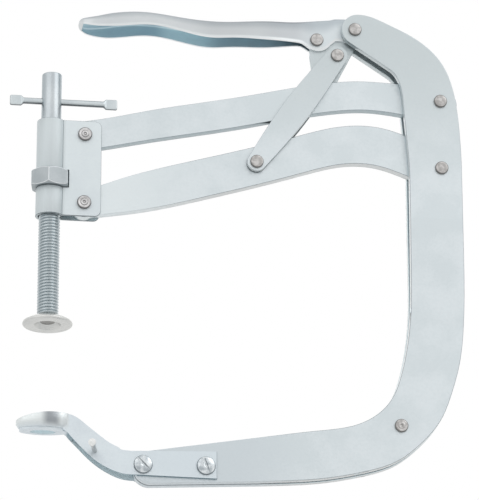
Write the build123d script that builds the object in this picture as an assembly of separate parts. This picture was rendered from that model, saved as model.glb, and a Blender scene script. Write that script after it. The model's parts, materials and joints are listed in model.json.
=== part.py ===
from build123d import *
import math
import os

os.makedirs("parts", exist_ok=True)

# The valve spring compressor stands upright in the XZ plane. The screw's axis is Z,
# the frame lies towards +X, and -Y is the side that faces the user.
# The origin is on the screw's axis, about level with the jaw's cup rim. Millimetres.

# Main sizes: the head's place over the cup, the arms' parallelogram and the frame's limb
HEAD_RIVET_X = 18.8
HEAD_RIVET_Z = 125.0
ARM_RUN = 203.0
ARM_RISE = 30.5
PIVOT_SPACING = 40.8
LIMB_W = 30.3
BACK_EDGE = 11.8

# Sheet and plate thicknesses
PLATE = 4.0
ARM = 5.4
LINK = 2.5
TOGGLE = 2.6
LEVER_SHEET = 1.4
HEAD_SHEET = 1.5
JAW_SHEET = 1.4
CUP_WALL = 2.0

# Clearances
SIDE_GAP = 0.3
PIVOT_FIT = 0.05
SEAT_GAP = 0.3

# Rivets: flat round heads, a little wider on the head's two
RIVET_R = 2.0
RIVET_HEAD_R = 3.75
HEAD_RIVET_HEAD_R = 3.95
RIVET_HEAD_H = 1.5

# Pivots of the parallelogram: two rivets in the head, two in the frame
HEAD_LOW = (HEAD_RIVET_X, HEAD_RIVET_Z)
HEAD_HIGH = (HEAD_RIVET_X, HEAD_RIVET_Z + PIVOT_SPACING)
ARM_LOW = (HEAD_RIVET_X + ARM_RUN, HEAD_RIVET_Z + ARM_RISE)
ARM_HIGH = (ARM_LOW[0], ARM_LOW[1] + PIVOT_SPACING)

# Lever and toggle: the lever's pivot from the upper frame pivot, the rivets from the lever's pivot
LEVER_BACK = 49.0
LEVER_UP = 41.6
LEVER_L = 158.2
LOBE_BACK = 21.5
LOBE_DROP = 5.9
LINK_BACK = 10.1
LINK_DROP = 16.0
LINK_FOOT = 97.3
LINK_FOOT_UP = 29.3
LEVER_PIVOT = (ARM_HIGH[0] - LEVER_BACK, ARM_HIGH[1] + LEVER_UP)
LOBE_RIVET = (LEVER_PIVOT[0] - LOBE_BACK, LEVER_PIVOT[1] - LOBE_DROP)
LINK_TOP = (LEVER_PIVOT[0] - LINK_BACK, LEVER_PIVOT[1] - LINK_DROP)
LINK_BOTTOM = (HEAD_LOW[0] + LINK_FOOT, HEAD_LOW[1] + LINK_FOOT_UP)

# Toggle plate: the arm's crest as shares of its run, the stop edge over it, the plate's corners
ARM_CREST = (0.695, 0.199)
STOP_GAP = 0.4
STOP_SLOPE = 0.19
STOP_NEAR = 9.6
STOP_FAR = 23.2
TOGGLE_BACK = 25.4
TOGGLE_WAIST = 15.9
TOGGLE_TURN_R = 5.0
TOGGLE_LOBE_R = 4.6

# Play of the link's lower rivet in the lower arm: the rivet keeps 2.4 mm on every side
LINK_PLAY = 2.7

# Link bars: their end radii and half width in the middle, and the washers beside them
LINK_LOW_R = 5.4
LINK_HIGH_R = 5.9
LINK_WAIST = 7.9
WASHER_R = 4.6
WASHER_PLAY = 0.2

# Lever: half width at the grip, height over the pivot
LEVER_HALF_W = 10.0
LEVER_OVER = 9.0

# Frame: back and throat edges, the elbow's reach, the boss round the lever's pivot
BACK_X = ARM_LOW[0] + BACK_EDGE
THROAT_X = BACK_X - LIMB_W
ELBOW_BACK = 25.2
ELBOW_Z = 2.0
ELBOW_RIVET = (ARM_LOW[0] - ELBOW_BACK, ELBOW_Z)
ELBOW_RUN = 115.6
ELBOW_RISE = 98.2
ELBOW_LOW = -33.2
INNER_RUN = 96.8
INNER_RISE = 115.0
INNER_LOW = -9.6
BOSS_R = 9.7
BOSS_SHIFT = 2.2
BOSS_SLOPE = math.radians(33.4)

# Gaps between the two frame plates: at the arms, at the lower elbow, at the jaw
ARM_GAP = ARM + 2 * SIDE_GAP
ELBOW_GAP = 2.8
JAW_GAP = 1.6
CRANK_DROP = 30.5
CRANK_RUN = 63.0
CRANK_TOP = ARM_LOW[1] - CRANK_DROP
CRANK_LOW = CRANK_TOP - CRANK_RUN
BUSH_R = 6.0
TAPER_START = ELBOW_RIVET[0] - 1.1 * BUSH_R

# Screw, nut and sleeve
THREAD_R = 6.0
SHANK_R = 5.65
SCREW_OVER = 36.8
THREAD_UNDER = 1.8
THREAD_HANG = 66.4
THREAD_FIT = 0.06
SCREW_CHAMFER = 0.9
NUT_AF = 20.4
NUT_H = 10.0
NUT_TURN = -98.8
NUT_OVER = 8.7
NUT_PLAY = 0.2
NUT_CONE = 1.2
SLEEVE_FIT = 0.45
HEAD_OVER = 8.0
FLANGE_REACH = 9.4
WINDOW_FRONT = 10.1
WINDOW_REAR = 11.35
FLANGE_CORNER = 3.6
SCREW_TOP = HEAD_HIGH[1] + SCREW_OVER
THREAD_TOP = HEAD_HIGH[1] - THREAD_UNDER
THREAD_LOW = HEAD_LOW[1] - THREAD_HANG
NUT_LOW = HEAD_LOW[1] + NUT_OVER

# Pad
PAD_R = 14.0
PAD_RIM = 2.6
PAD_SHEET = 2.0
PAD_BOSS_R = 7.0
PAD_RISE = 3.4
PAD_RECESS_SLOPE = 2.2
STUD_R = 3.0
STUD_HEAD_R = 4.2
STUD_HEAD_H = 1.2
STUD_HEAD_PLAY = 1.2

# Tommy bar
BAR_R = 1.8
BAR_DROP = 16.4
BAR_Z = SCREW_TOP - BAR_DROP
BAR_LEFT = -23.5
BAR_RIGHT = 37.1
BAR_HOLE_PLAY = 0.2
PADDLE_L = 7.6
PADDLE_H = 6.0
PADDLE_T = 1.9
PADDLE_CORNER = 1.0
PADDLE_NECK = 2.0

# Jaw: the cup
CUP_X = -1.5
CUP_HALF_L = 14.8
CUP_HALF_W = 8.2
CUP_H = 8.5
CUP_SKIRT = 7.0
CUP_BEVEL_H = 2.2
CUP_BEVEL_IN = 1.4
CUP_STEP_L = 1.9
CUP_STEP_W = 2.3
CUP_FLOOR = 2.4
CUP_RIM_HIGH = 1.6
CUP_RIM_LOW = -3.2
HOLE_HALF_L = 7.0
HOLE_HALF_W = 3.7

# Jaw: screws, tongues and neck
JAW_SCREW_Z = -26.4
JAW_SCREW_RISE = 0.6
PLATE_END = 48.0
PLATE_EDGE = 5.1
JAW_SCREW_PITCH = 34.6
JAW_SCREW_X1 = PLATE_END + PLATE_EDGE
JAW_SCREW_X2 = JAW_SCREW_X1 + JAW_SCREW_PITCH
JAW_SCREW_R = 3.0
JAW_SCREW_TIP = 1.0
JAW_HEAD_R = 5.2
JAW_HEAD_H = 2.4
JAW_SLOT = 1.1
JAW_NUT_AF = 10.0
JAW_NUT_H = 4.5
TONGUE_EDGE = 6.2
TONGUE_HIGH = 9.0
TONGUE_LOW = 6.4
TONGUE_END = JAW_SCREW_X2 + TONGUE_EDGE
WEB_GAP = 1.4
WEB_END = PLATE_END - WEB_GAP
NECK_START = 9.0
NECK_HALF_W = 4.2
CHANNEL_START = 14.6
TONGUE_HALF = JAW_GAP / 2 + PLATE + JAW_SHEET

# Pin that stands out of the neck's front wall
PIN_R = 1.3
PIN_HEAD_R = 2.15
PIN_HEAD_H = 1.1
PIN_L = 16.0
PIN_SEAT = 1.2
PIN_ROOT = (NECK_START + 0.473 * (WEB_END - NECK_START), -0.917 * NECK_HALF_W, 0.72 * JAW_SCREW_Z)
PIN_WAY = (-0.19, -0.982, 0)


def side_face(points_maker):
    """A face in the XZ plane from a function that draws its outline with local x = X, y = Z."""
    with BuildSketch(Plane.XZ) as sketch:
        with BuildLine():
            points_maker()
        make_face()
    return sketch.sketch


def slab(face, low, high):
    """Extrude an XZ face from Y = low to Y = high."""
    thick = extrude(face, amount=(high - low) / 2, both=True)
    return Pos(0, (low + high) / 2, 0) * thick


def disc(place, radius, low, high):
    """A cylinder along Y at an XZ place, from Y = low to Y = high."""
    axis = Plane((place[0], (low + high) / 2, place[1]), z_dir=(0, 1, 0))
    return axis * Cylinder(radius, high - low)


def post(radius, low, high, x=0.0, y=0.0):
    """A cylinder along Z at (x, y), from Z = low to Z = high."""
    return Pos(x, y, (low + high) / 2) * Cylinder(radius, high - low)


def block(x1, x2, y1, y2, z1, z2):
    """A box between two corners."""
    middle = Pos((x1 + x2) / 2, (y1 + y2) / 2, (z1 + z2) / 2)
    return middle * Box(abs(x2 - x1), abs(y2 - y1), abs(z2 - z1))


def turned(points):
    """A solid of revolution about Z from (radius, height) corners, closed along the axis."""
    with BuildSketch(Plane.XZ) as half:
        with BuildLine():
            Polyline(*points, close=True)
        make_face()
    return revolve(half.sketch, Axis.Z)


def rivet(place, half_length, head_r=RIVET_HEAD_R):
    """A rivet along Y with a flat round head at each end, centred on Y = 0."""
    end = half_length + RIVET_HEAD_H
    upper = [(RIVET_R, half_length), (head_r, half_length), (head_r, end), (0, end)]
    lower = [(radius, -height) for radius, height in reversed(upper)]
    return Pos(place[0], 0, place[1]) * (Rot(90, 0, 0) * turned(lower + upper))


# Frame plates


def frame_outline():
    """The C in the side view, from the lever's end round the back to the jaw's end.

    The curves' points are shares of the run and rise of the corner that they go round."""
    px, pz = LEVER_PIVOT
    boss_x = px + BOSS_SHIFT
    low = (boss_x - BOSS_R * math.sin(BOSS_SLOPE), pz - BOSS_R * math.cos(BOSS_SLOPE))
    left = (boss_x - BOSS_R, pz)
    top = (boss_x, pz + BOSS_R)
    corner_x = px + 0.657 * LIMB_W
    corner = (corner_x, low[1] - (corner_x - low[0]) * math.tan(BOSS_SLOPE))
    down_slope = (-math.cos(BOSS_SLOPE), math.sin(BOSS_SLOPE))

    def shoulder(across, down):
        return (px + across * (BACK_X - px), pz - down * (pz - ARM_LOW[1]))

    def elbow(across, up):
        return (BACK_X - (1 - across) * ELBOW_RUN, ELBOW_LOW + up * ELBOW_RISE)

    def inner(across, up):
        return (THROAT_X - (1 - across) * INNER_RUN, INNER_LOW + up * INNER_RISE)

    back = (BACK_X, ARM_LOW[1] - 0.84 * LIMB_W)
    throat_top = (THROAT_X, ARM_LOW[1] - 0.27 * LIMB_W)
    end_low = JAW_SCREW_Z - 0.335 * LIMB_W
    end_high = (PLATE_END, JAW_SCREW_Z + 0.231 * LIMB_W)
    corner_top = (PLATE_END, JAW_SCREW_Z - 0.51 * PLATE_EDGE)
    corner_middle = (PLATE_END + 0.6 * PLATE_EDGE, JAW_SCREW_Z - 1.53 * PLATE_EDGE)
    corner_foot = (PLATE_END + 1.76 * PLATE_EDGE, end_low)
    ThreePointArc(low, left, top)
    Spline(
        [
            top,
            shoulder(0.283, -0.067),
            shoulder(0.579, 0.042),
            shoulder(0.804, 0.192),
            shoulder(0.933, 0.42),
            shoulder(0.991, 0.805),
            back,
        ],
        tangents=[(1, 0), (0, -1)],
    )
    Spline(
        [
            back,
            elbow(0.996, 1.0),
            elbow(0.965, 0.71),
            elbow(0.93, 0.566),
            elbow(0.871, 0.397),
            elbow(0.781, 0.265),
            elbow(0.652, 0.145),
            elbow(0.518, 0.086),
            elbow(0.345, 0.04),
            elbow(0, 0),
        ],
        tangents=[(0, -1), (-1, -0.07)],
    )
    Line(elbow(0, 0), corner_foot)
    ThreePointArc(corner_foot, corner_middle, corner_top)
    Line(corner_top, end_high)
    Line(end_high, inner(0, 0))
    Spline(
        [
            inner(0, 0),
            inner(0.458, 0.062),
            inner(0.698, 0.107),
            inner(0.861, 0.214),
            inner(0.936, 0.361),
            inner(0.987, 0.59),
            inner(1, 1),
        ],
        tangents=[(1, 0.16), (0, 1)],
    )
    Line(inner(1, 1), throat_top)
    Spline(
        [throat_top, (THROAT_X - 0.086 * LIMB_W, ARM_HIGH[1] - 0.244 * LIMB_W), corner],
        tangents=[(0, 1), down_slope],
    )
    Line(corner, low)


def frame_plate(side):
    """One C plate. side is -1 for the front plate and +1 for the rear one."""
    top_in = ARM_GAP / 2
    low_in = ELBOW_GAP / 2
    tip_in = JAW_GAP / 2
    seam = CRANK_LOW - 3 * PLATE
    reach = LEVER_PIVOT[1] + 2 * LIMB_W
    floor = JAW_SCREW_Z - LIMB_W
    with BuildSketch(Plane.YZ) as upper:
        with BuildLine():
            Polyline(
                (side * top_in, reach),
                (side * (top_in + PLATE), reach),
                (side * (top_in + PLATE), CRANK_TOP),
                (side * (low_in + PLATE), CRANK_LOW),
                (side * (low_in + PLATE), seam),
                (side * low_in, seam),
                (side * low_in, CRANK_LOW),
                (side * top_in, CRANK_TOP),
                close=True,
            )
        make_face()
    with BuildSketch(Plane.XY) as lower:
        with BuildLine():
            Polyline(
                (WEB_END, side * tip_in),
                (TONGUE_END, side * tip_in),
                (TAPER_START, side * low_in),
                (reach, side * low_in),
                (reach, side * (low_in + PLATE)),
                (TAPER_START, side * (low_in + PLATE)),
                (TONGUE_END, side * (tip_in + PLATE)),
                (WEB_END, side * (tip_in + PLATE)),
                close=True,
            )
        make_face()
    sheet = extrude(upper.sketch, amount=reach)
    sheet += Pos(0, 0, seam) * extrude(lower.sketch, amount=floor - seam)
    body = slab(side_face(frame_outline), -LIMB_W, LIMB_W) & sheet
    for place in (LEVER_PIVOT, ARM_HIGH, ARM_LOW, ELBOW_RIVET):
        body -= disc(place, RIVET_R, -LIMB_W, LIMB_W)
    for place in jaw_screw_places():
        body -= disc(place, JAW_SCREW_R, -LIMB_W, LIMB_W)
    return body


def frame_bush():
    """A ring between the plates at the lower elbow."""
    ring = disc(ELBOW_RIVET, BUSH_R, -ELBOW_GAP / 2, ELBOW_GAP / 2)
    return ring - disc(ELBOW_RIVET, RIVET_R, -ELBOW_GAP, ELBOW_GAP)


def jaw_screw_places():
    """The two jaw screws in the side view. The second one sits a little higher."""
    return [(JAW_SCREW_X1, JAW_SCREW_Z), (JAW_SCREW_X2, JAW_SCREW_Z + JAW_SCREW_RISE)]


def jaw_spacer():
    """A strip between the plates under the jaw's screws."""
    half = JAW_HEAD_R
    strip = block(
        JAW_SCREW_X1 - 0.8 * PLATE_EDGE,
        JAW_SCREW_X2 + PLATE_EDGE,
        -JAW_GAP / 2,
        JAW_GAP / 2,
        JAW_SCREW_Z - half,
        JAW_SCREW_Z + half,
    )
    for place in jaw_screw_places():
        strip -= disc(place, JAW_SCREW_R, -JAW_GAP, JAW_GAP)
    return strip


# Arms


def arm_from(outline, holes):
    """An arm plate from its outline, with its holes as (place, radius) pairs."""
    body = slab(side_face(outline), -ARM / 2, ARM / 2)
    for place, radius in holes:
        body -= disc(place, radius, -ARM, ARM)
    return body


def upper_arm():
    """The upper arm. Its curves' points are shares of the arms' run from the head's rivet."""
    left_r = 0.042 * ARM_RUN
    right_r = 0.051 * ARM_RUN
    (hx, hz), (ax, az) = HEAD_HIGH, ARM_HIGH

    def at(across, up):
        return (hx + across * ARM_RUN, hz + up * ARM_RUN)

    def outline():
        top_left = at(-0.007, 0.042)
        low_left = at(0.01, -0.041)
        top_right = (ax, az + right_r)
        low_right = (ax, az - right_r)
        crest = [at(0.181, 0.0857), at(0.434, 0.1404), at(*ARM_CREST), at(0.7635, 0.2069), at(0.875, 0.2059)]
        under = [at(0.888, 0.1138), at(0.774, 0.1207), at(0.717, 0.1148), at(0.434, 0.0512), at(0.182, -0.0025)]
        Spline([top_left] + crest + [top_right], tangents=[(1, 0.16), (1, -0.05)])
        ThreePointArc(top_right, (ax + right_r, az), low_right)
        Spline([low_right] + under + [low_left], tangents=[(-1, 0.05), (-1, -0.2)])
        ThreePointArc(low_left, (hx - left_r, hz - 0.05 * left_r), top_left)

    return arm_from(outline, [(HEAD_HIGH, RIVET_R + PIVOT_FIT), (ARM_HIGH, RIVET_R + PIVOT_FIT)])


def lower_arm():
    """The lower arm, with the wide hole in which the link's lower rivet plays."""
    left_r = 0.0375 * ARM_RUN
    right_r = 0.054 * ARM_RUN
    (hx, hz), (ax, az) = HEAD_LOW, ARM_LOW

    def at(across, up):
        return (hx + across * ARM_RUN, hz + up * ARM_RUN)

    def outline():
        top_left = at(-0.0128, 0.0355)
        low_left = at(0.02, -0.0355)
        top_right = at(1.02, 0.201)
        low_right = (ax, az - right_r)
        crest = [
            at(0.0995, 0.0783),
            at(0.322, 0.1488),
            at(0.592, 0.2315),
            at(0.717, 0.268),
            at(0.8305, 0.2709),
            at(0.906, 0.2493),
        ]
        under = [
            at(0.9015, 0.1305),
            at(0.8325, 0.153),
            at(0.749, 0.1585),
            at(0.607, 0.1215),
            at(0.3256, 0.0335),
            at(0.148, -0.0128),
        ]
        Spline([top_left] + crest + [top_right], tangents=[(1, 0.3), (1, -0.37)])
        ThreePointArc(top_right, (ax + right_r, az), low_right)
        Spline([low_right] + under + [low_left], tangents=[(-1, 0.3), (-1, -0.2)])
        ThreePointArc(low_left, (hx - left_r, hz - 0.29 * left_r), top_left)

    holes = [(place, RIVET_R + PIVOT_FIT) for place in (HEAD_LOW, ARM_LOW)]
    return arm_from(outline, holes + [(LINK_BOTTOM, RIVET_R + LINK_PLAY)])


# Lever, toggle plate and links


def lever_at(back, up):
    """A place in the side view: shares of the lever's length back from and above its pivot."""
    return (LEVER_PIVOT[0] - back * LEVER_L, LEVER_PIVOT[1] + up * LEVER_L)


def lever_plan(inset):
    """The lever's half widths in plan as (x, half width) pairs, taken in by inset."""
    shares = [(0.89, 1.0), (0.764, 0.94), (0.65, 0.88), (0.422, 0.81), (0.273, 0.6)]
    pairs = [(lever_at(back, 0)[0], share * LEVER_HALF_W - inset) for back, share in shares]
    return pairs + [(lever_at(0.16, 0)[0], ARM / 2 - inset)]


def lever_side(inset, drop):
    """The lever's side outline, taken in by inset on top. drop lowers the bottom edge."""
    px, pz = LEVER_PIVOT
    end_r = LEVER_OVER - inset

    def top(back, up):
        x, z = lever_at(back, up)
        return (x, z - inset)

    def low(back, up):
        x, z = lever_at(back, up)
        return (x, z - drop)

    def outline():
        nose = (lever_at(1, 0)[0] + inset * 1.5, lever_at(1, -0.016)[1])
        chin = (nose[0], nose[1] - 0.6 - drop)
        crown = (px, pz + end_r)
        heel = (px + 0.2 * end_r, pz - 0.72 * end_r - drop)
        foot = low(0.062, -0.036)
        step = low(0.2073, -0.0506)
        Spline(
            [
                nose,
                top(0.974, -0.0065),
                top(0.889, 0.009),
                top(0.7636, 0.0228),
                top(0.637, 0.0114),
                top(0.4836, 0.0044),
                top(0.334, 0.0185),
                top(0.235, 0.0275),
                top(0.16, 0.0395),
                top(0.075, 0.051),
                crown,
            ],
            tangents=[(0.5, 1), (1, 0.03)],
        )
        ThreePointArc(crown, (px + 0.9 * end_r, pz), heel)
        Line(heel, foot)
        Spline([foot, low(0.095, -0.0645), low(0.135, -0.08), low(0.172, -0.065), step], tangents=[(-1, -0.2), (-1, 0)])
        Spline(
            [
                step,
                low(0.334, -0.0545),
                low(0.4413, -0.0563),
                low(0.523, -0.062),
                low(0.5866, -0.0543),
                low(0.65, -0.04),
                low(0.743, -0.0272),
                low(0.9153, -0.0427),
                chin,
            ],
            tangents=[(-1, 0), (-0.5, 0.6)],
        )
        Line(chin, nose)

    return side_face(outline)


def lever_top_view(inset):
    """The lever in plan: a pointed grip, a waist and a narrow end between the frame plates."""
    pairs = lever_plan(inset)
    tip = (lever_at(1, 0)[0] + inset * 1.2, 0.08 * LEVER_HALF_W)
    quarter = ((tip[0] + 2.2 * pairs[0][0]) / 3.2, pairs[0][1] * 0.93)
    end = (LEVER_PIVOT[0] + 2 * LEVER_OVER, pairs[5][1])
    other = [(x, -half) for x, half in reversed(pairs)]
    with BuildSketch(Plane.XY) as plan:
        with BuildLine():
            Spline([tip, quarter, pairs[0]], tangents=[(0, 1), (1, 0)])
            Spline(pairs, tangents=[(1, 0), (1, -0.06)])
            Polyline(pairs[5], end, (end[0], -end[1]), other[0])
            Spline(other, tangents=[(-1, -0.06), (-1, 0)])
            Spline([other[5], (quarter[0], -quarter[1]), (tip[0], -tip[1])], tangents=[(-1, 0), (0, 1)])
            Line((tip[0], -tip[1]), tip)
        make_face()
    return plan.sketch


def lever_block(inset, drop):
    """The lever as a solid: its side outline cut to its plan."""
    under = Pos(0, 0, LEVER_PIVOT[1] - LEVER_L / 2)
    wide = 2 * LEVER_HALF_W
    return slab(lever_side(inset, drop), -wide, wide) & under * extrude(lever_top_view(inset), amount=LEVER_L)


def lever():
    """A pressed channel, open below, narrowing to the pivot."""
    body = lever_block(0, 0) - lever_block(LEVER_SHEET, LEVER_HALF_W)
    body -= disc(LEVER_PIVOT, RIVET_R + PIVOT_FIT, -ARM, ARM)
    body -= disc(LOBE_RIVET, RIVET_R, -ARM, ARM)
    return body


def toggle_plate():
    """The plate inside the channel: it turns on the pivot, carries the links and has the stop edge."""
    px, pz = LEVER_PIVOT
    lx, lz = LOBE_RIVET
    crest_x = HEAD_HIGH[0] + ARM_CREST[0] * ARM_RUN
    crest_z = HEAD_HIGH[1] + ARM_CREST[1] * ARM_RUN
    turn_r = TOGGLE_TURN_R

    def stop(back):
        x = px - back
        return (x, crest_z + STOP_GAP + (x - crest_x) * STOP_SLOPE)

    def outline():
        Polyline(
            stop(STOP_FAR),
            (px - TOGGLE_BACK, pz - TOGGLE_WAIST),
            (px - TOGGLE_BACK, lz + 0.3 * TOGGLE_LOBE_R),
            (lx - 0.2 * TOGGLE_LOBE_R, lz + TOGGLE_LOBE_R),
            (px - 0.4 * turn_r, pz + 0.9 * turn_r),
            (px + 0.5 * turn_r, pz + 0.8 * turn_r),
            (px + turn_r, pz),
            (px + 0.88 * turn_r, pz - 0.44 * turn_r),
            stop(STOP_NEAR),
            close=True,
        )

    body = slab(side_face(outline), -TOGGLE / 2, TOGGLE / 2)
    body -= disc(LEVER_PIVOT, RIVET_R + PIVOT_FIT, -TOGGLE, TOGGLE)
    body -= disc(LOBE_RIVET, RIVET_R, -TOGGLE, TOGGLE)
    body -= disc(LINK_TOP, RIVET_R + PIVOT_FIT, -TOGGLE, TOGGLE)
    return body


def link(side):
    """One link bar, widest in the middle. side is -1 for the front bar and +1 for the rear one."""
    (bx, bz), (tx, tz) = LINK_BOTTOM, LINK_TOP
    length = math.hypot(tx - bx, tz - bz)
    low_r = LINK_LOW_R
    high_r = LINK_HIGH_R
    waist = LINK_WAIST
    tilt = math.degrees(math.atan2(tz - bz, tx - bx))
    with BuildSketch(Plane.XZ) as bar:
        with BuildLine():
            Spline([(0, low_r), (length * 0.5, waist), (length, high_r)], tangents=[(1, 0.1), (1, -0.07)])
            ThreePointArc((length, high_r), (length + high_r, 0), (length, -high_r))
            Spline([(length, -high_r), (length * 0.5, -waist), (0, -low_r)], tangents=[(-1, -0.07), (-1, 0.1)])
            ThreePointArc((0, -low_r), (-low_r, 0), (0, low_r))
        make_face()
    inner = side * (ARM / 2 + SIDE_GAP)
    flat = extrude(bar.sketch, amount=LINK / 2, both=True)
    body = Pos(bx, inner + side * LINK / 2, bz) * (Rot(0, -tilt, 0) * flat)
    for place in (LINK_TOP, LINK_BOTTOM):
        body -= disc(place, RIVET_R, -4 * ARM, 4 * ARM)
    return body


def link_washers():
    """Two washers on the upper link rivet, between the bars and the thin toggle plate."""
    face = ARM / 2 + SIDE_GAP
    start = TOGGLE / 2 + WASHER_PLAY
    bore = disc(LINK_TOP, RIVET_R, -ARM, ARM)
    front = disc(LINK_TOP, WASHER_R, -face, -start) - bore
    rear = disc(LINK_TOP, WASHER_R, start, face) - bore
    return Compound(children=[front.solid(), rear.solid()])


# Head


def clamp_head():
    """A sheet folded round the spindle: a sleeve with two flanges that straddle the arms."""
    bore = THREAD_R + SLEEVE_FIT
    out = bore + HEAD_SHEET
    inner = ARM / 2 + SIDE_GAP
    low = HEAD_LOW[1] - HEAD_OVER
    high = HEAD_HIGH[1] + HEAD_OVER
    right = HEAD_RIVET_X + FLANGE_REACH
    wide = 3 * out
    body = post(out, low, high)
    body += block(0, right, -inner - HEAD_SHEET, inner + HEAD_SHEET, low, high)
    body -= post(bore, low - 1, high + 1)
    body -= block(bore * 0.5, right + 1, -inner, inner, low - 1, high + 1)
    window_low = NUT_LOW - NUT_PLAY
    window_high = NUT_LOW + NUT_H + NUT_PLAY
    body -= block(-wide, WINDOW_FRONT, -wide, 0, window_low, window_high)
    body -= block(-wide, WINDOW_REAR, 0, wide, window_low, window_high)
    corners = body.edges().filter_by(Axis.Y).filter_by(lambda e: e.center().X > right - 0.1)
    body = fillet(corners, FLANGE_CORNER)
    for place in (HEAD_LOW, HEAD_HIGH):
        body -= disc(place, RIVET_R, -wide, wide)
    return body


def hex_nut():
    """The spindle's nut, with a corner turned towards the user and chamfered corners."""
    corner_r = NUT_AF / 2 / math.cos(math.radians(30))
    flat = Rot(0, 0, NUT_TURN) * extrude(RegularPolygon(corner_r, 6), amount=NUT_H)
    face_r = 0.98 * NUT_AF / 2
    bevel = turned([(0, 0), (face_r, 0), (corner_r, NUT_CONE), (corner_r, NUT_H - NUT_CONE), (face_r, NUT_H), (0, NUT_H)])
    body = Pos(0, 0, NUT_LOW) * (flat & bevel)
    return body - post(THREAD_R + THREAD_FIT, NUT_LOW - 1, NUT_LOW + NUT_H + 1)


# Screw


def pressure_pad():
    """A dished pad: a raised boss round the stud, falling to a rim, with a recess below."""
    top = THREAD_LOW - SEAT_GAP
    low = top - PAD_SHEET - PAD_RISE
    under = top - PAD_SHEET
    bore = STUD_R + PIVOT_FIT
    recess_r = STUD_HEAD_R + STUD_HEAD_PLAY
    rim_top = low + PAD_RIM
    profile = [
        (bore, under),
        (bore, top),
        (PAD_BOSS_R, top),
        (PAD_BOSS_R + 0.36 * (PAD_R - PAD_BOSS_R), top - 0.16 * (top - rim_top)),
        (PAD_R - 0.36 * PAD_RIM, rim_top),
        (PAD_R, rim_top - 0.4 * PAD_RIM),
        (PAD_R, low + 0.2 * PAD_RIM),
        (PAD_R - 0.3 * PAD_RIM, low),
        (recess_r + PAD_RECESS_SLOPE, low),
        (recess_r, under),
    ]
    return turned(profile)


def screw_spindle():
    """Thread core, smooth shank with the cross hole, and the stud peened under the pad."""
    top = THREAD_LOW - SEAT_GAP
    under = top - PAD_SHEET - SEAT_GAP
    profile = [
        (0, under - STUD_HEAD_H),
        (0.8 * STUD_HEAD_R, under - STUD_HEAD_H),
        (STUD_HEAD_R, under - STUD_HEAD_H * 0.5),
        (STUD_HEAD_R, under),
        (STUD_R, under),
        (STUD_R, THREAD_LOW),
        (THREAD_R - SCREW_CHAMFER, THREAD_LOW),
        (THREAD_R, THREAD_LOW + SCREW_CHAMFER),
        (THREAD_R, THREAD_TOP - SCREW_CHAMFER),
        (SHANK_R, THREAD_TOP),
        (SHANK_R, SCREW_TOP - SCREW_CHAMFER),
        (SHANK_R - SCREW_CHAMFER, SCREW_TOP),
        (0, SCREW_TOP),
    ]
    cross = Plane((0, 0, BAR_Z), z_dir=(1, 0, 0)) * Cylinder(BAR_R + BAR_HOLE_PLAY, 4 * SHANK_R)
    return turned(profile) - cross


def tommy_bar():
    """A round bar with both ends pressed flat and wider than the cross hole."""
    inner_left = BAR_LEFT + PADDLE_L
    inner_right = BAR_RIGHT - PADDLE_L
    middle = Plane(((inner_left + inner_right) / 2, 0, BAR_Z), z_dir=(1, 0, 0))
    bar = middle * Cylinder(BAR_R, inner_right - inner_left)
    half = PADDLE_H / 2
    neck_half = 0.9 * BAR_R
    for tip, way in ((BAR_LEFT, 1), (BAR_RIGHT, -1)):

        def outline(tip=tip, way=way):
            root = tip + way * PADDLE_L
            Polyline(
                (root + way * PADDLE_NECK, BAR_Z - neck_half),
                (root, BAR_Z - half),
                (tip + way * PADDLE_CORNER, BAR_Z - half),
                (tip, BAR_Z - half + PADDLE_CORNER),
                (tip, BAR_Z + half - PADDLE_CORNER),
                (tip + way * PADDLE_CORNER, BAR_Z + half),
                (root, BAR_Z + half),
                (root + way * PADDLE_NECK, BAR_Z + neck_half),
                close=True,
            )

        bar += slab(side_face(outline), -PADDLE_T / 2, PADDLE_T / 2)
    return bar


# Jaw


def oval(half_l, half_w):
    """A flat oval of four tangent arcs, long in X."""
    end_r = 0.66 * half_w
    side_y = ((half_l - end_r) ** 2 - (half_w - end_r) ** 2) / (2 * (half_w - end_r))
    side_r = half_w + side_y
    share = end_r / (side_r - end_r)
    tx = (half_l - end_r) * (1 + share)
    ty = side_y * share
    with BuildSketch(Plane.XY) as shape:
        with BuildLine():
            ThreePointArc((tx, -ty), (half_l, 0), (tx, ty))
            ThreePointArc((tx, ty), (0, half_w), (-tx, ty))
            ThreePointArc((-tx, ty), (-half_l, 0), (-tx, -ty))
            ThreePointArc((-tx, -ty), (0, -half_w), (tx, -ty))
        make_face()
    return shape.sketch


def oval_block(inset_l, inset_w, low, high):
    """A block over the cup's oval, taken in by the insets, from Z = low to Z = high."""
    shape = oval(CUP_HALF_L - inset_l, CUP_HALF_W - inset_w)
    return Pos(CUP_X, 0, low) * extrude(shape, amount=high - low)


def cup_hollow():
    """The space inside the cup, above its floor."""
    return oval_block(CUP_WALL, CUP_WALL, CUP_FLOOR - CUP_H, 2 * CUP_H)


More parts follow.
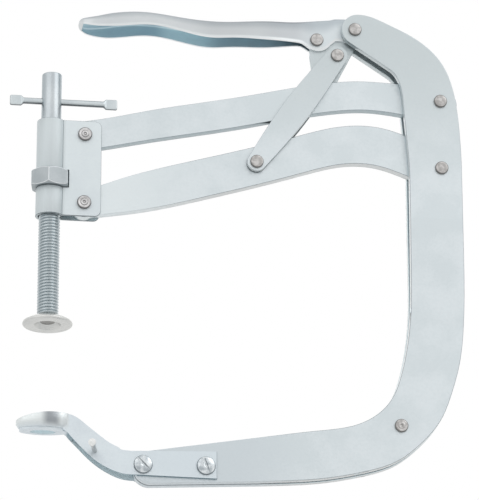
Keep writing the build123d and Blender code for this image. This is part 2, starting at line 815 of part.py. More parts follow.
def cup():
    """The jaw's end: an oval cup that rises to the neck, with a stepped wall and an oval hole."""
    body = oval_block(0, 0, -CUP_SKIRT, 2 * CUP_RIM_HIGH)
    lowest = body.edges().filter_by(lambda e: e.center().Z < 0.1 - CUP_SKIRT)
    body = chamfer(lowest, CUP_BEVEL_H, CUP_BEVEL_IN)
    body += oval_block(CUP_STEP_L, CUP_STEP_W, -CUP_H, -CUP_SKIRT + CUP_BEVEL_H)
    body -= cup_hollow()
    hole = oval(HOLE_HALF_L, HOLE_HALF_W)
    body -= Pos(CUP_X, 0, -2 * CUP_H) * extrude(hole, amount=2 * CUP_H)
    nose = CUP_X - CUP_HALF_L - 1
    heel = CUP_X + CUP_HALF_L + 1

    def over_rim():
        left = (CUP_X - 0.37 * CUP_HALF_L, 0)
        right = (CUP_X + 0.3 * CUP_HALF_L, 0.75 * CUP_RIM_HIGH)
        Spline([(nose, CUP_RIM_LOW), left, right, (heel, CUP_RIM_HIGH)])
        Polyline((heel, CUP_RIM_HIGH), (heel, CUP_H), (nose, CUP_H), (nose, CUP_RIM_LOW))

    return body - slab(side_face(over_rim), -CUP_HALF_L, CUP_HALF_L)


def jaw_outline():
    """Side view of the neck and tongues. The neck's points are shares of its run and of the screws' depth."""
    bend = (WEB_END, JAW_SCREW_Z + 0.833 * TONGUE_HIGH)
    heel = (WEB_END, JAW_SCREW_Z - 0.92 * TONGUE_LOW)
    tip_high = (TONGUE_END, JAW_SCREW_Z + TONGUE_HIGH)
    tip_low = (TONGUE_END, JAW_SCREW_Z - TONGUE_LOW)
    root_high = (NECK_START, 0.5 * CUP_RIM_HIGH)
    root_low = (NECK_START, 0.4 * CUP_FLOOR - CUP_H)

    def neck(across, down):
        return (NECK_START + across * (WEB_END - NECK_START), down * JAW_SCREW_Z)

    crest = [neck(0.101, -0.042), neck(0.335, 0.152), neck(0.484, 0.322), neck(0.601, 0.4545)]
    crest += [neck(0.718, 0.568), neck(0.83, 0.655)]
    Spline([root_high] + crest + [bend], tangents=[(1, 0.2), (1, -0.1)])
    Polyline(bend, tip_high, tip_low, heel)
    under = [neck(0.84, 1.189), neck(0.697, 1.11), neck(0.449, 0.89), neck(0.234, 0.595), neck(0.09, 0.379)]
    Spline([heel] + under + [root_low], tangents=[(-1, 0), (-1, 0.4)])
    Line(root_low, root_high)


def jaw_plan(inset):
    """Half plan of the neck and tongues as (x, half width) pairs, taken in by inset."""
    shares = [(0, 1), (0.213, 0.88), (0.473, 0.917), (0.691, 1.095)]
    neck = [(NECK_START + across * (WEB_END - NECK_START), half * NECK_HALF_W) for across, half in shares]
    wide = neck + [(PLATE_END, TONGUE_HALF), (TONGUE_END, TONGUE_HALF)]
    return [(x, half - inset) for x, half in wide]


def plan_block(pairs, low, high):
    """A prism along Z over a plan given by (x, half width) pairs."""
    loop = pairs + [(x, -half) for x, half in reversed(pairs)]
    with BuildSketch(Plane.XY) as plan:
        with BuildLine():
            Polyline(*loop, close=True)
        make_face()
    return Pos(0, 0, low) * extrude(plan.sketch, amount=high - low)


def jaw_pin():
    """A headed pin seated in the neck's front wall and standing out of it."""
    outer = PIN_L - PIN_HEAD_H
    pin = turned(
        [(0, -PIN_SEAT), (PIN_R, -PIN_SEAT), (PIN_R, outer), (PIN_HEAD_R, outer), (PIN_HEAD_R, PIN_L), (0, PIN_L)]
    )
    return Plane(PIN_ROOT, z_dir=PIN_WAY) * pin


def jaw():
    """One pressing: cup, neck channel with its web on top, and two tongues over the frame."""
    deep = 2 * TONGUE_END
    side = slab(side_face(jaw_outline), -2 * TONGUE_HALF, 2 * TONGUE_HALF)
    body = side & plan_block(jaw_plan(0), -deep, deep)
    inner = plan_block(jaw_plan(JAW_SHEET), -deep, deep)
    under_web = Pos(-0.65 * JAW_SHEET, 0, -0.95 * JAW_SHEET) * side
    channel = under_web & block(CHANNEL_START, WEB_END, -deep, deep, -deep, deep)
    body -= channel & inner
    body -= block(WEB_END, TONGUE_END + 1, -deep, deep, -deep, deep) & inner
    body -= cup_hollow()
    body += cup()
    for place in jaw_screw_places():
        body -= disc(place, JAW_SCREW_R, -2 * TONGUE_HALF, 2 * TONGUE_HALF)
    return body - jaw_pin()


def jaw_screws():
    """Two slotted screws with low domed heads on the front tongue."""
    tip = -TONGUE_HALF - JAW_NUT_H
    profile = [
        (0, tip - JAW_SCREW_TIP),
        (JAW_SCREW_R, tip - JAW_SCREW_TIP),
        (JAW_SCREW_R, TONGUE_HALF),
        (JAW_HEAD_R, TONGUE_HALF),
        (JAW_HEAD_R, TONGUE_HALF + 0.4 * JAW_HEAD_H),
        (0.6 * JAW_HEAD_R, TONGUE_HALF + JAW_HEAD_H),
        (0, TONGUE_HALF + JAW_HEAD_H),
    ]
    made = []
    for place, turn in zip(jaw_screw_places(), (135, 110)):
        slot = Pos(0, 0, TONGUE_HALF + JAW_HEAD_H) * Box(3 * JAW_HEAD_R, JAW_SLOT, JAW_HEAD_H)
        screw = turned(profile) - Rot(0, 0, turn) * slot
        made.append((Pos(place[0], 0, place[1]) * (Rot(90, 0, 0) * screw)).solid())
    return Compound(children=made)


def jaw_nuts():
    """Two hexagon nuts behind the rear tongue."""
    corner_r = JAW_NUT_AF / 2 / math.cos(math.radians(30))
    nut = extrude(RegularPolygon(corner_r, 6), amount=JAW_NUT_H) - Cylinder(JAW_SCREW_R, 4 * JAW_NUT_H)
    made = [
        (Pos(place[0], TONGUE_HALF, place[1]) * (Rot(-90, 0, 0) * nut)).solid()
        for place in jaw_screw_places()
    ]
    return Compound(children=made)


plates = {"frame_plate_front": -1, "frame_plate_rear": 1}
bars = {"link_front": -1, "link_rear": 1}
half_top = ARM_GAP / 2 + PLATE
half_elbow = ELBOW_GAP / 2 + PLATE
half_link = ARM / 2 + SIDE_GAP + LINK
half_head = ARM / 2 + SIDE_GAP + HEAD_SHEET

model = {name: frame_plate(side) for name, side in plates.items()}
model["frame_bush"] = frame_bush()
model["frame_rivet"] = rivet(ELBOW_RIVET, half_elbow)
model["lever_pivot_rivet"] = rivet(LEVER_PIVOT, half_top)
model["upper_arm_rivet"] = rivet(ARM_HIGH, half_top)
model["lower_arm_rivet"] = rivet(ARM_LOW, half_top)
model["upper_arm"] = upper_arm()
model["lower_arm"] = lower_arm()
model["lever"] = lever()
model["toggle_plate"] = toggle_plate()
model["lever_lobe_rivet"] = rivet(LOBE_RIVET, ARM / 2)
model.update({name: link(side) for name, side in bars.items()})
model["link_washers"] = link_washers()
model["link_top_rivet"] = rivet(LINK_TOP, half_link)
model["link_bottom_rivet"] = rivet(LINK_BOTTOM, half_link)
model["clamp_head"] = clamp_head()
model["head_rivet_upper"] = rivet(HEAD_HIGH, half_head, HEAD_RIVET_HEAD_R)
model["head_rivet_lower"] = rivet(HEAD_LOW, half_head, HEAD_RIVET_HEAD_R)
model["hex_nut"] = hex_nut()
model["pressure_pad"] = pressure_pad()
model["screw_spindle"] = screw_spindle()
model["tommy_bar"] = tommy_bar()
model["jaw"] = jaw()
model["jaw_spacer"] = jaw_spacer()
model["jaw_screws"] = jaw_screws()
model["jaw_nuts"] = jaw_nuts()
model["jaw_pin"] = jaw_pin()

for name, shape in model.items():
    export_step(shape, f"parts/{name}.step")
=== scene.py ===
# %% [markdown]
# A valve spring compressor: a tall C of two plated steel plates, with a lever at the top,
# a screw at the open side and a small cup below it. The exact pieces come from the
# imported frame, and this file gives them their finish, the real thread and the light.

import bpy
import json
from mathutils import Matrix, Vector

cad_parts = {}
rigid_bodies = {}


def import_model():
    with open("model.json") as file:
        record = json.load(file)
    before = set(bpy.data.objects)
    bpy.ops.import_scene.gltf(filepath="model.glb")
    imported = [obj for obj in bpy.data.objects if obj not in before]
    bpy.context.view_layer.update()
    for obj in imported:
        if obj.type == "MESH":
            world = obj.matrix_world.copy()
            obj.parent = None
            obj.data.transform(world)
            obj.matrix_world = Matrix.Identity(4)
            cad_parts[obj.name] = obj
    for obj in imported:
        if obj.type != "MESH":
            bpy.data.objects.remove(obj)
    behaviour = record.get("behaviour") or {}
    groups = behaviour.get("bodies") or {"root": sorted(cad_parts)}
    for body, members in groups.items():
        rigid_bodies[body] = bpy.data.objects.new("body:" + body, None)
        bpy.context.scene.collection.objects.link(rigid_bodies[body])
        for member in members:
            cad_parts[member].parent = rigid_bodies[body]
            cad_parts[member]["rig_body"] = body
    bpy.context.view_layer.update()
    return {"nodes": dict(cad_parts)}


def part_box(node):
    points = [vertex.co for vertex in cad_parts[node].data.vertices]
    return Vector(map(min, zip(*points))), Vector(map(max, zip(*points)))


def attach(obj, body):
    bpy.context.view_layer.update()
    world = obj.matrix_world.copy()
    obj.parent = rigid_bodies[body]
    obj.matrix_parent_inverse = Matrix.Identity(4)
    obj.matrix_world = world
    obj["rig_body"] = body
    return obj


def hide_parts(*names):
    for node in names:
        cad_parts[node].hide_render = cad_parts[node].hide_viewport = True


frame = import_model()

# %% [markdown]
# Sizes of the tool are written in millimetres below, and MM turns them into the metres
# that Blender works in.

# %% Tools
import json
import math

import bmesh
import bpy
from mathutils import Matrix, Vector
from mathutils.bvhtree import BVHTree

scene = bpy.context.scene
scene.view_settings.view_transform = "Standard"
nodes = frame["nodes"]
MM = 0.001
print("packed pieces:", len(nodes))

# %% [markdown]
# The camera comes first. The tool was seen slightly from the left and from below, with a
# long lens, so its lines run nearly parallel. A long lens far away gives the same picture
# here.

# %% Camera
CAMERA_AIM = Vector((0.107, 0.0, 0.1028))
CAMERA_AZIMUTH = math.radians(-8.0)
CAMERA_ELEVATION = math.radians(-20.0)
CAMERA_DISTANCE = 2.072
CAMERA_LENS = 266.4

camera_data = bpy.data.cameras.new("camera")
camera_data.lens = CAMERA_LENS
camera_data.sensor_width = 36.0
camera_data.clip_end = 50.0
camera = bpy.data.objects.new("camera", camera_data)
scene.collection.objects.link(camera)
camera_back = Vector(
    (
        math.sin(CAMERA_AZIMUTH) * math.cos(CAMERA_ELEVATION),
        -math.cos(CAMERA_AZIMUTH) * math.cos(CAMERA_ELEVATION),
        math.sin(CAMERA_ELEVATION),
    )
)
camera.location = CAMERA_AIM + camera_back * CAMERA_DISTANCE
camera.rotation_mode = "QUATERNION"
camera.rotation_quaternion = (-camera_back).to_track_quat("-Z", "Y")
scene.camera = camera
print("camera stands at", [round(v, 3) for v in camera.location])

# %% [markdown]
# Materials are node trees. Small helpers keep them short: one turns a colour read as
# screen numbers into the linear colour that Blender works in, and one adds a node and
# sets or links its inputs in a single call. The others build on that one.


# %% Helpers for materials
def screen_colour(red, green, blue):
    """Screen numbers from 0 to 255 as a linear colour."""
    linear = []
    for value in (red, green, blue):
        value /= 255.0
        linear.append(value / 12.92 if value <= 0.04045 else ((value + 0.055) / 1.055) ** 2.4)
    return (*linear, 1.0)


def put(tree, kind, inputs=None, **settings):
    """Adds a node, sets its own settings, and links or sets its inputs by name or number."""
    node = tree.nodes.new(kind)
    for name, value in settings.items():
        setattr(node, name, value)
    for name, value in (inputs or {}).items():
        if isinstance(value, bpy.types.NodeSocket):
            tree.links.new(value, node.inputs[name])
        else:
            node.inputs[name].default_value = value
    return node


def new_group(name, inputs, outputs):
    """An empty node group with named inputs, as {name: default}, and named outputs."""
    tree = bpy.data.node_groups.new(name, "ShaderNodeTree")
    for label, value in inputs.items():
        kind = "NodeSocketColor" if isinstance(value, tuple) else "NodeSocketFloat"
        socket = tree.interface.new_socket(label, in_out="INPUT", socket_type=kind)
        socket.default_value = value
    for label, kind in outputs.items():
        tree.interface.new_socket(label, in_out="OUTPUT", socket_type=kind)
    return tree, tree.nodes.new("NodeGroupInput"), tree.nodes.new("NodeGroupOutput")


def blend_colours(tree, share, first, second, blend="MIX"):
    """The colour output of a mix of two colours."""
    node = put(tree, "ShaderNodeMix", {0: share, 6: first, 7: second}, data_type="RGBA", blend_type=blend)
    return node.outputs[2]


def ramp(tree, value, low, high, out_low=0.0, out_high=1.0):
    """A value spread from low..high to out_low..out_high, with soft ends."""
    spread = {0: value, 1: low, 2: high, 3: out_low, 4: out_high}
    return put(tree, "ShaderNodeMapRange", spread, interpolation_type="SMOOTHSTEP").outputs[0]


def maths(tree, operation, first, second):
    """The output of a sum, a product or a comparison of two values."""
    return put(tree, "ShaderNodeMath", {0: first, 1: second}, operation=operation).outputs[0]


def own_axes(tree, kind):
    """X, Y and Z of a point's place (Object) or direction (Normal), as the piece has them."""
    source = put(tree, "ShaderNodeTexCoord").outputs[kind]
    return put(tree, "ShaderNodeSeparateXYZ", {0: source}).outputs


print("screen grey 128 is", round(screen_colour(128, 128, 128)[0], 3), "of full light")

# %% [markdown]
# Zinc plating is not one grey. Slow clouds of paler and bluer metal lie over a fine
# grain. Two noises, one large and one small, make that, and they read the position on
# the object, so the clouds run on from piece to piece.

# %% Shader group: plating clouds
FINE_GRAIN = 14.0
FINE_SHARE = 0.35

clouds, clouds_in, clouds_out = new_group(
    "plating_clouds",
    {"Light": (0.8, 0.8, 0.8, 1.0), "Dark": (0.6, 0.6, 0.6, 1.0), "Size": 60.0},
    {"Color": "NodeSocketColor", "Roughness": "NodeSocketFloat", "Height": "NodeSocketFloat"},
)
place = put(clouds, "ShaderNodeTexCoord").outputs["Object"]
slow_size = clouds_in.outputs["Size"]
fine_size = maths(clouds, "MULTIPLY", slow_size, FINE_GRAIN)
slow = put(clouds, "ShaderNodeTexNoise", {"Vector": place, "Scale": slow_size, "Detail": 3.0}).outputs["Fac"]
fine = put(clouds, "ShaderNodeTexNoise", {"Vector": place, "Scale": fine_size, "Detail": 2.0}).outputs["Fac"]
slow_mask = ramp(clouds, slow, 0.35, 0.68)
fine_mask = maths(clouds, "MULTIPLY", ramp(clouds, fine, 0.3, 0.75), FINE_SHARE)
share = put(clouds, "ShaderNodeMath", {0: slow_mask, 1: fine_mask}, operation="ADD", use_clamp=True)
cloud_colour = blend_colours(clouds, share.outputs[0], clouds_in.outputs["Light"], clouds_in.outputs["Dark"])
clouds.links.new(cloud_colour, clouds_out.inputs["Color"])
clouds.links.new(ramp(clouds, fine, 0.3, 0.7, 0.30, 0.44), clouds_out.inputs["Roughness"])
clouds.links.new(fine, clouds_out.inputs["Height"])
print("group ready:", clouds.name)

# %% [markdown]
# A plate cut from sheet has smooth faces and rougher, greyer cut edges. All the flat
# pieces here lie across Y, so the object's own normal tells faces from edges. The group
# gives three masks: the cut edge, the rim where a face begins to turn into its edge and
# takes a thin painted shade line, and a soft one that paints shade on round forms
# towards their sides.

# %% Shader group: cut edges
RIM_START = 0.985
SIDE_SHADE_START = 0.45

cut, cut_in, cut_out = new_group(
    "cut_edges",
    {"Start": 0.75},
    {label: "NodeSocketFloat" for label in ("Mask", "RimShade", "SideShade")},
)
across_y = own_axes(cut, "Normal")["Y"]
side_on = put(cut, "ShaderNodeMath", {0: across_y}, operation="ABSOLUTE").outputs[0]
cut.links.new(maths(cut, "LESS_THAN", side_on, cut_in.outputs["Start"]), cut_out.inputs["Mask"])
cut.links.new(maths(cut, "LESS_THAN", side_on, RIM_START), cut_out.inputs["RimShade"])
cut.links.new(ramp(cut, side_on, SIDE_SHADE_START, 1.0, 1.0, 0.0), cut_out.inputs["SideShade"])
print("group ready:", cut.name)

# %% [markdown]
# Between two plates, and inside a pressed channel, a painted colour stands in for the
# light there: a pale bluish painted reflection in most places and painted shade between
# the links. A face looks inwards where its normal points back to the middle plane, so the
# product of its place and its normal along Y is negative there.

# %% Shader group: inner faces
inner, inner_in, inner_out = new_group("inner_faces", {"Start": 0.0006}, {"Mask": "NodeSocketFloat"})
turned_out = maths(inner, "MULTIPLY", own_axes(inner, "Object")["Y"], own_axes(inner, "Normal")["Y"])
turned_in = maths(inner, "MULTIPLY", turned_out, -1.0)
inner.links.new(maths(inner, "GREATER_THAN", turned_in, inner_in.outputs["Start"]), inner_out.inputs["Mask"])
print("group ready:", inner.name)

# %% [markdown]
# The jaw's cup is polished and carries painted reflections: a pale wall, one dark streak
# right of its middle and a bright spot where the neck begins. These are painted on at
# fixed places, so they don't move with the view or the light as real reflections would.
# Each is a band along X that rises, stays and falls, and all three stop at the cup's
# lower step. Two last masks draw a thin line of painted shade at the tongue's end and a
# bluer painted shade on whatever looks down behind the cup. The numbers are places in
# millimetres.

# %% Shader group: painted reflections and shade on the cup
CUP_STEP_Z = -7.8
STEP_BLEND = 4.0
WALL_BAND = (-30.0, -28.0, 7.0, 11.0)
STREAK_BAND = (-4.2, 1.2, 4.4, 9.2)
SPOT_BAND = (7.2, 9.8, 11.2, 13.0)
NECK_START = (10.5, 12.5)
END_LINE = (0.6, 0.3)

cup_paint, cup_paint_in, cup_paint_out = new_group(
    "cup_painted_reflections_and_shade",
    {"Step": CUP_STEP_Z * MM},
    {label: "NodeSocketFloat" for label in ("Wall", "Streak", "Spot", "End", "Under")},
)
where = own_axes(cup_paint, "Object")
above_step = maths(cup_paint, "SUBTRACT", where["Z"], cup_paint_in.outputs["Step"])
above_step = ramp(cup_paint, above_step, 0.0, STEP_BLEND * MM)
for label, band in (("Wall", WALL_BAND), ("Streak", STREAK_BAND), ("Spot", SPOT_BAND)):
    rise = ramp(cup_paint, where["X"], band[0] * MM, band[1] * MM)
    fall = ramp(cup_paint, where["X"], band[2] * MM, band[3] * MM, 1.0, 0.0)
    mask = maths(cup_paint, "MULTIPLY", maths(cup_paint, "MULTIPLY", rise, fall), above_step)
    cup_paint.links.new(mask, cup_paint_out.inputs[label])
looks_down = ramp(cup_paint, own_axes(cup_paint, "Normal")["Z"], -0.6, -0.45, 1.0, 0.0)
behind_cup = ramp(cup_paint, where["X"], NECK_START[0] * MM, NECK_START[1] * MM)
cup_paint.links.new(maths(cup_paint, "MULTIPLY", looks_down, behind_cup), cup_paint_out.inputs["Under"])
tongue_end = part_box("jaw")[1].x
end_mask = ramp(cup_paint, where["X"], tongue_end - END_LINE[0] * MM, tongue_end - END_LINE[1] * MM)
cup_paint.links.new(end_mask, cup_paint_out.inputs["End"])
print("group ready:", cup_paint.name, "with the tongue's end at", round(tongue_end / MM, 1), "mm")

# %% [markdown]
# The zinc carries painted shade and light by place. The plates are greyer towards the
# tool's top, the sleeve is greyer than its flanges, the tongue is greyer towards its end,
# and all of it is painted shade. Two groups give a share that grows from one place to
# another, one along X and one along Z.


# %% Shader groups: shares along the tool
def share_along(axis):
    """A group whose share grows between two places on an axis, given in metres."""
    name = "share_along_" + axis.lower()
    tree, given, result = new_group(name, {"Start": 0.0, "End": 0.1}, {"Share": "NodeSocketFloat"})
    grown = ramp(tree, own_axes(tree, "Object")[axis], given.outputs["Start"], given.outputs["End"])
    tree.links.new(grown, result.inputs["Share"])
    print("group ready:", tree.name)
    return tree


along_x = share_along("X")
along_z = share_along("Z")

# %% [markdown]
# The lever's sides carry painted shade towards the top and a painted highlight, a bright
# line, at the hem. Each point of the lever carries its height as a share, 0 at the hem
# and 1 at the top, and this group turns that share into the two masks.

# %% Shader group: lever height
HEIGHT_SHARE = "height_share"
UPPER_PART = (0.42, 0.88)
HEM_PART = (0.06, 0.16)

height_masks = {label: "NodeSocketFloat" for label in ("Upper", "Hem")}
lift, _, lift_out = new_group("lever_height", {}, height_masks)
own_share = put(lift, "ShaderNodeAttribute", attribute_name=HEIGHT_SHARE).outputs["Fac"]
lift.links.new(ramp(lift, own_share, *UPPER_PART), lift_out.inputs["Upper"])
lift.links.new(ramp(lift, own_share, *HEM_PART, 1.0, 0.0), lift_out.inputs["Hem"])
print("group ready:", lift.name)

# %% [markdown]
# Every finish is the same recipe with its own values: clouds of two plating colours,
# a colour for cut edges, painted shade for rims and round sides, a painted colour for
# inner faces, how rough it is, and a fine bump. The shader itself stays in the material,
# where its plain numbers can be read. The colours given to these functions are screen
# numbers, red, green and blue.

# %% Recipe for a metal finish
METALLIC = 0.85
GRAIN_STRENGTH = 0.02
GRAIN_DEPTH = 0.2


def metal_finish(
    name, light, dark, edge=None, inside=None, rim=None, side_shade=None, start=0.75, size=60.0, rough=None
):
    """A plated metal. An edge begins where the normal leans more than start says."""
    material = bpy.data.materials.new(name)
    material.use_nodes = True
    tree = material.node_tree
    shader = tree.nodes["Principled BSDF"]
    plating = {"Light": screen_colour(*light), "Dark": screen_colour(*dark), "Size": size}
    body = put(tree, "ShaderNodeGroup", node_tree=clouds)
    for label, value in plating.items():
        body.inputs[label].default_value = value
    tree.links.new(body.outputs["Color"], shader.inputs["Base Color"])
    if rough is None:
        tree.links.new(body.outputs["Roughness"], shader.inputs["Roughness"])
    else:
        shader.inputs["Roughness"].default_value = rough
    shader.inputs["Metallic"].default_value = METALLIC
    grain = {"Strength": GRAIN_STRENGTH, "Distance": GRAIN_DEPTH * MM, "Height": body.outputs["Height"]}
    tree.links.new(put(tree, "ShaderNodeBump", grain).outputs[0], shader.inputs["Normal"])
    tints = {"SideShade": side_shade, "RimShade": rim, "Mask": edge}
    layers = {label: screen_colour(*tint) for label, tint in tints.items() if tint}
    lay_over(material, layers, cut, Start=start)
    if inside:
        lay_over(material, {"Mask": screen_colour(*inside)}, inner)
    return material


def lay_over(material, layers, group, blend="MIX", **limits):
    """Lays linear colours over a finish, as {mask: colour}, through the masks of a group."""
    tree = material.node_tree
    shader = tree.nodes["Principled BSDF"]
    colour = shader.inputs["Base Color"].links[0].from_socket
    masks = put(tree, "ShaderNodeGroup", node_tree=group)
    for label, limit in limits.items():
        masks.inputs[label].default_value = limit
    for label, tint in layers.items():
        colour = blend_colours(tree, masks.outputs[label], colour, tint, blend)
    tree.links.new(colour, shader.inputs["Base Color"])


def tint_along(material, tint, group, start, end):
    """Lets a finish pass into a tint between two places on an axis, given in mm."""
    lay_over(material, {"Share": screen_colour(*tint)}, group, Start=start * MM, End=end * MM)


print("metal finishes are", METALLIC, "metallic")

# %% [markdown]
# The plates, arms and links are bright zinc on sheet steel, with a thin dark line of
# painted shade where a face meets its rim. Between the links painted shade makes them
# dark, between the other plates a painted reflection makes them pale and bluish. As
# painted shade the frame and the links grow greyer towards their tops, the frame also
# towards its left, and as painted light the lower arm grows paler towards the head.

# %% Finishes of the plates
PLATE_LIGHT = (219, 226, 229)
PLATE_DARK = (211, 219, 222)
PLATE_TOP_SHADE = (199, 207, 209)
PALE_EDGE = (214, 217, 217)
INSIDE_PAINTED_REFLECTION = (211, 224, 228)
RIM_SHADE_LINE = (108, 120, 127)


def plate_finish(name, edge, inside=None):
    """The finish of a flat piece, with its own edge and inner colours."""
    return metal_finish(name, PLATE_LIGHT, PLATE_DARK, edge, inside, RIM_SHADE_LINE, size=45.0)


zinc_plate = plate_finish("zinc_plate", PALE_EDGE, INSIDE_PAINTED_REFLECTION)
tint_along(zinc_plate, PLATE_TOP_SHADE, along_z, 130.0, 235.0)
tint_along(zinc_plate, (206, 214, 218), along_x, 150.0, 105.0)
zinc_link = plate_finish("zinc_link", PALE_EDGE, (70, 84, 90))
tint_along(zinc_link, PLATE_TOP_SHADE, along_z, 150.0, 235.0)
zinc_lower = plate_finish("zinc_lower", PALE_EDGE, INSIDE_PAINTED_REFLECTION)
tint_along(zinc_lower, (224, 231, 233), along_x, 100.0, 30.0)
zinc_arm = plate_finish("zinc_arm", (176, 188, 192))
print("plate finishes:", zinc_plate.name, zinc_link.name, zinc_lower.name, zinc_arm.name)

# %% [markdown]
# The head is one folded sheet, a little rougher. Its sleeve is greyer than its flanges and
# darker towards its sides, both painted shade, and its corners carry a dark line of
# painted shade of their own.

# %% Finishes of the head
zinc_head = metal_finish(
    "zinc_head",
    (227, 234, 236),
    (222, 229, 232),
    inside=INSIDE_PAINTED_REFLECTION,
    side_shade=(168, 175, 178),
    size=45.0,
    rough=0.6,
)
tint_along(zinc_head, (213, 220, 222), along_x, 8.5, 6.5)
painted_edge_shade = metal_finish("painted_edge_shade", (112, 123, 129), (98, 109, 115), rough=0.5)
print("head finishes:", zinc_head.name, painted_edge_shade.name)

# %% [markdown]
# The jaw takes the cup's painted reflections and shade over its plating, and its tongue
# grows greyer towards its end as painted shade. The inside of its neck is made nearly
# matt, because a metallic finish came out too blue there, and its pale blue there is
# painted light.

# %% Finish of the jaw
INSIDE_METALLIC = 0.1
CUP_PAINTED_LIGHT_AND_SHADE = {
    "Wall": screen_colour(226, 231, 231),
    "Streak": screen_colour(158, 163, 167),
    "Spot": screen_colour(212, 217, 218),
    "End": screen_colour(184, 193, 198),
    "Under": screen_colour(116, 144, 155),
}

zinc_jaw = metal_finish("zinc_jaw", (223, 231, 235), (216, 224, 229), size=70.0)
tint_along(zinc_jaw, (215, 224, 229), along_x, 15.0, 85.0)
lay_over(zinc_jaw, CUP_PAINTED_LIGHT_AND_SHADE, cup_paint)
lay_over(zinc_jaw, {"Mask": screen_colour(226, 240, 244)}, inner)
jaw_tree = zinc_jaw.node_tree
jaw_inside = put(jaw_tree, "ShaderNodeGroup", node_tree=inner).outputs["Mask"]
jaw_metallic = ramp(jaw_tree, jaw_inside, 0.0, 1.0, METALLIC, INSIDE_METALLIC)
jaw_tree.links.new(jaw_metallic, jaw_tree.nodes["Principled BSDF"].inputs["Metallic"])
print("jaw finish:", zinc_jaw.name, "with", len(CUP_PAINTED_LIGHT_AND_SHADE), "layers")

# %% [markdown]
# The screw, its nut, the bar and the pad are smoother and shinier. The thread is one
# even grey, the shank is paler with darker sides, and the stud below the pad is dark.
# The darker sides of the screw and the dark top and bottom of the bar's rod are painted
# shade, and edge_glint is a painted highlight for the nut's edges.

# %% Finishes of the screw and what it carries
zinc_bright = metal_finish(
    "zinc_bright", (203, 209, 212), (187, 194, 198), side_shade=(172, 181, 185), rough=0.3
)
tint_along(zinc_bright, (192, 200, 203), along_z, 124.0, 116.0)
tint_along(zinc_bright, (136, 135, 132), along_z, 57.5, 55.5)
zinc_nut = metal_finish("zinc_nut", (186, 192, 195), (173, 180, 183), rough=0.5)
edge_glint = metal_finish("edge_glint", (226, 230, 232), (214, 219, 221), rough=0.4)
zinc_pad = metal_finish("zinc_pad", (222, 222, 219), (209, 210, 208), rough=0.35)
zinc_bar = metal_finish("zinc_bar", (214, 221, 223), (202, 210, 213), side_shade=(122, 126, 129), rough=0.3)
print("screw finishes:", zinc_bright.name, zinc_nut.name, edge_glint.name, zinc_pad.name, zinc_bar.name)

# %% [markdown]
# The jaw's screws and pin are bright with dark rims of painted shade, and the coarse
# mottling on the screws is a painted reflection. Rivets are plain steel, warmer than the
# zinc, with fine marks from the tool that closed them, and their dark rims are painted
# shade too.

# %% Finishes of rivets, screws and pin
zinc_pin = metal_finish(
    "zinc_pin", (238, 239, 238), (212, 214, 213), edge=(184, 187, 188), start=0.93, rough=0.25
)
zinc_screw = metal_finish(
    "zinc_screw", (238, 243, 245), (174, 182, 187), edge=(124, 131, 135), start=0.66, size=260.0, rough=0.25
)
rivet_look = {"size": 420.0, "rough": 0.35}
rivet_marked = metal_finish(
    "rivet_marked", (223, 222, 222), (188, 187, 187), edge=(122, 121, 121), start=0.955, **rivet_look
)
rivet_steel = metal_finish(
    "rivet_steel", (210, 208, 206), (170, 168, 166), edge=(126, 124, 122), start=0.93, **rivet_look
)
inner_steel = metal_finish("inner_steel", (176, 184, 188), (150, 158, 163), rough=0.45)
print("screw and pin finishes:", zinc_pin.name, zinc_screw.name)
print("rivet finishes:", rivet_marked.name, rivet_steel.name, inner_steel.name)

# %% [markdown]
# The lever is satin, and painted shade and light change it along its length: greyest
# before the lobe, palest at the lobe itself. Its upper part keeps only a share of its red,
# green and blue, as painted shade, and its sides end in a painted highlight at the hem.
# Inside, its channel is painted as a blue reflection that grows into painted shade
# towards the pivot.

# %% Finishes of the lever
UPPER_SHADE = (0.70, 0.72, 0.74, 1.0)

lever_satin = metal_finish("lever_satin", (215, 219, 220), (206, 210, 212), size=25.0, rough=0.4)
tint_along(lever_satin, (198, 202, 204), along_x, 74.0, 92.0)
tint_along(lever_satin, (180, 184, 187), along_x, 114.0, 132.0)
tint_along(lever_satin, (214, 221, 224), along_x, 137.0, 153.0)
lay_over(lever_satin, {"Hem": screen_colour(220, 224, 225)}, lift)
lay_over(lever_satin, {"Upper": UPPER_SHADE}, lift, blend="MULTIPLY")
lever_hem_painted_highlight = metal_finish("lever_hem_painted_highlight", (244, 246, 246), (232, 235, 236), rough=0.4)
lever_inside_painted_light_and_shade = metal_finish("lever_inside_painted_light_and_shade", (206, 227, 234), (196, 218, 227), size=25.0, rough=0.5)
tint_along(lever_inside_painted_light_and_shade, (218, 237, 243), along_x, 58.0, 68.0)
tint_along(lever_inside_painted_light_and_shade, (194, 214, 222), along_x, 85.0, 100.0)
tint_along(lever_inside_painted_light_and_shade, (140, 160, 168), along_x, 122.0, 146.0)
print("lever finishes:", lever_satin.name, lever_hem_painted_highlight.name, lever_inside_painted_light_and_shade.name)

# %% [markdown]
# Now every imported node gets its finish.

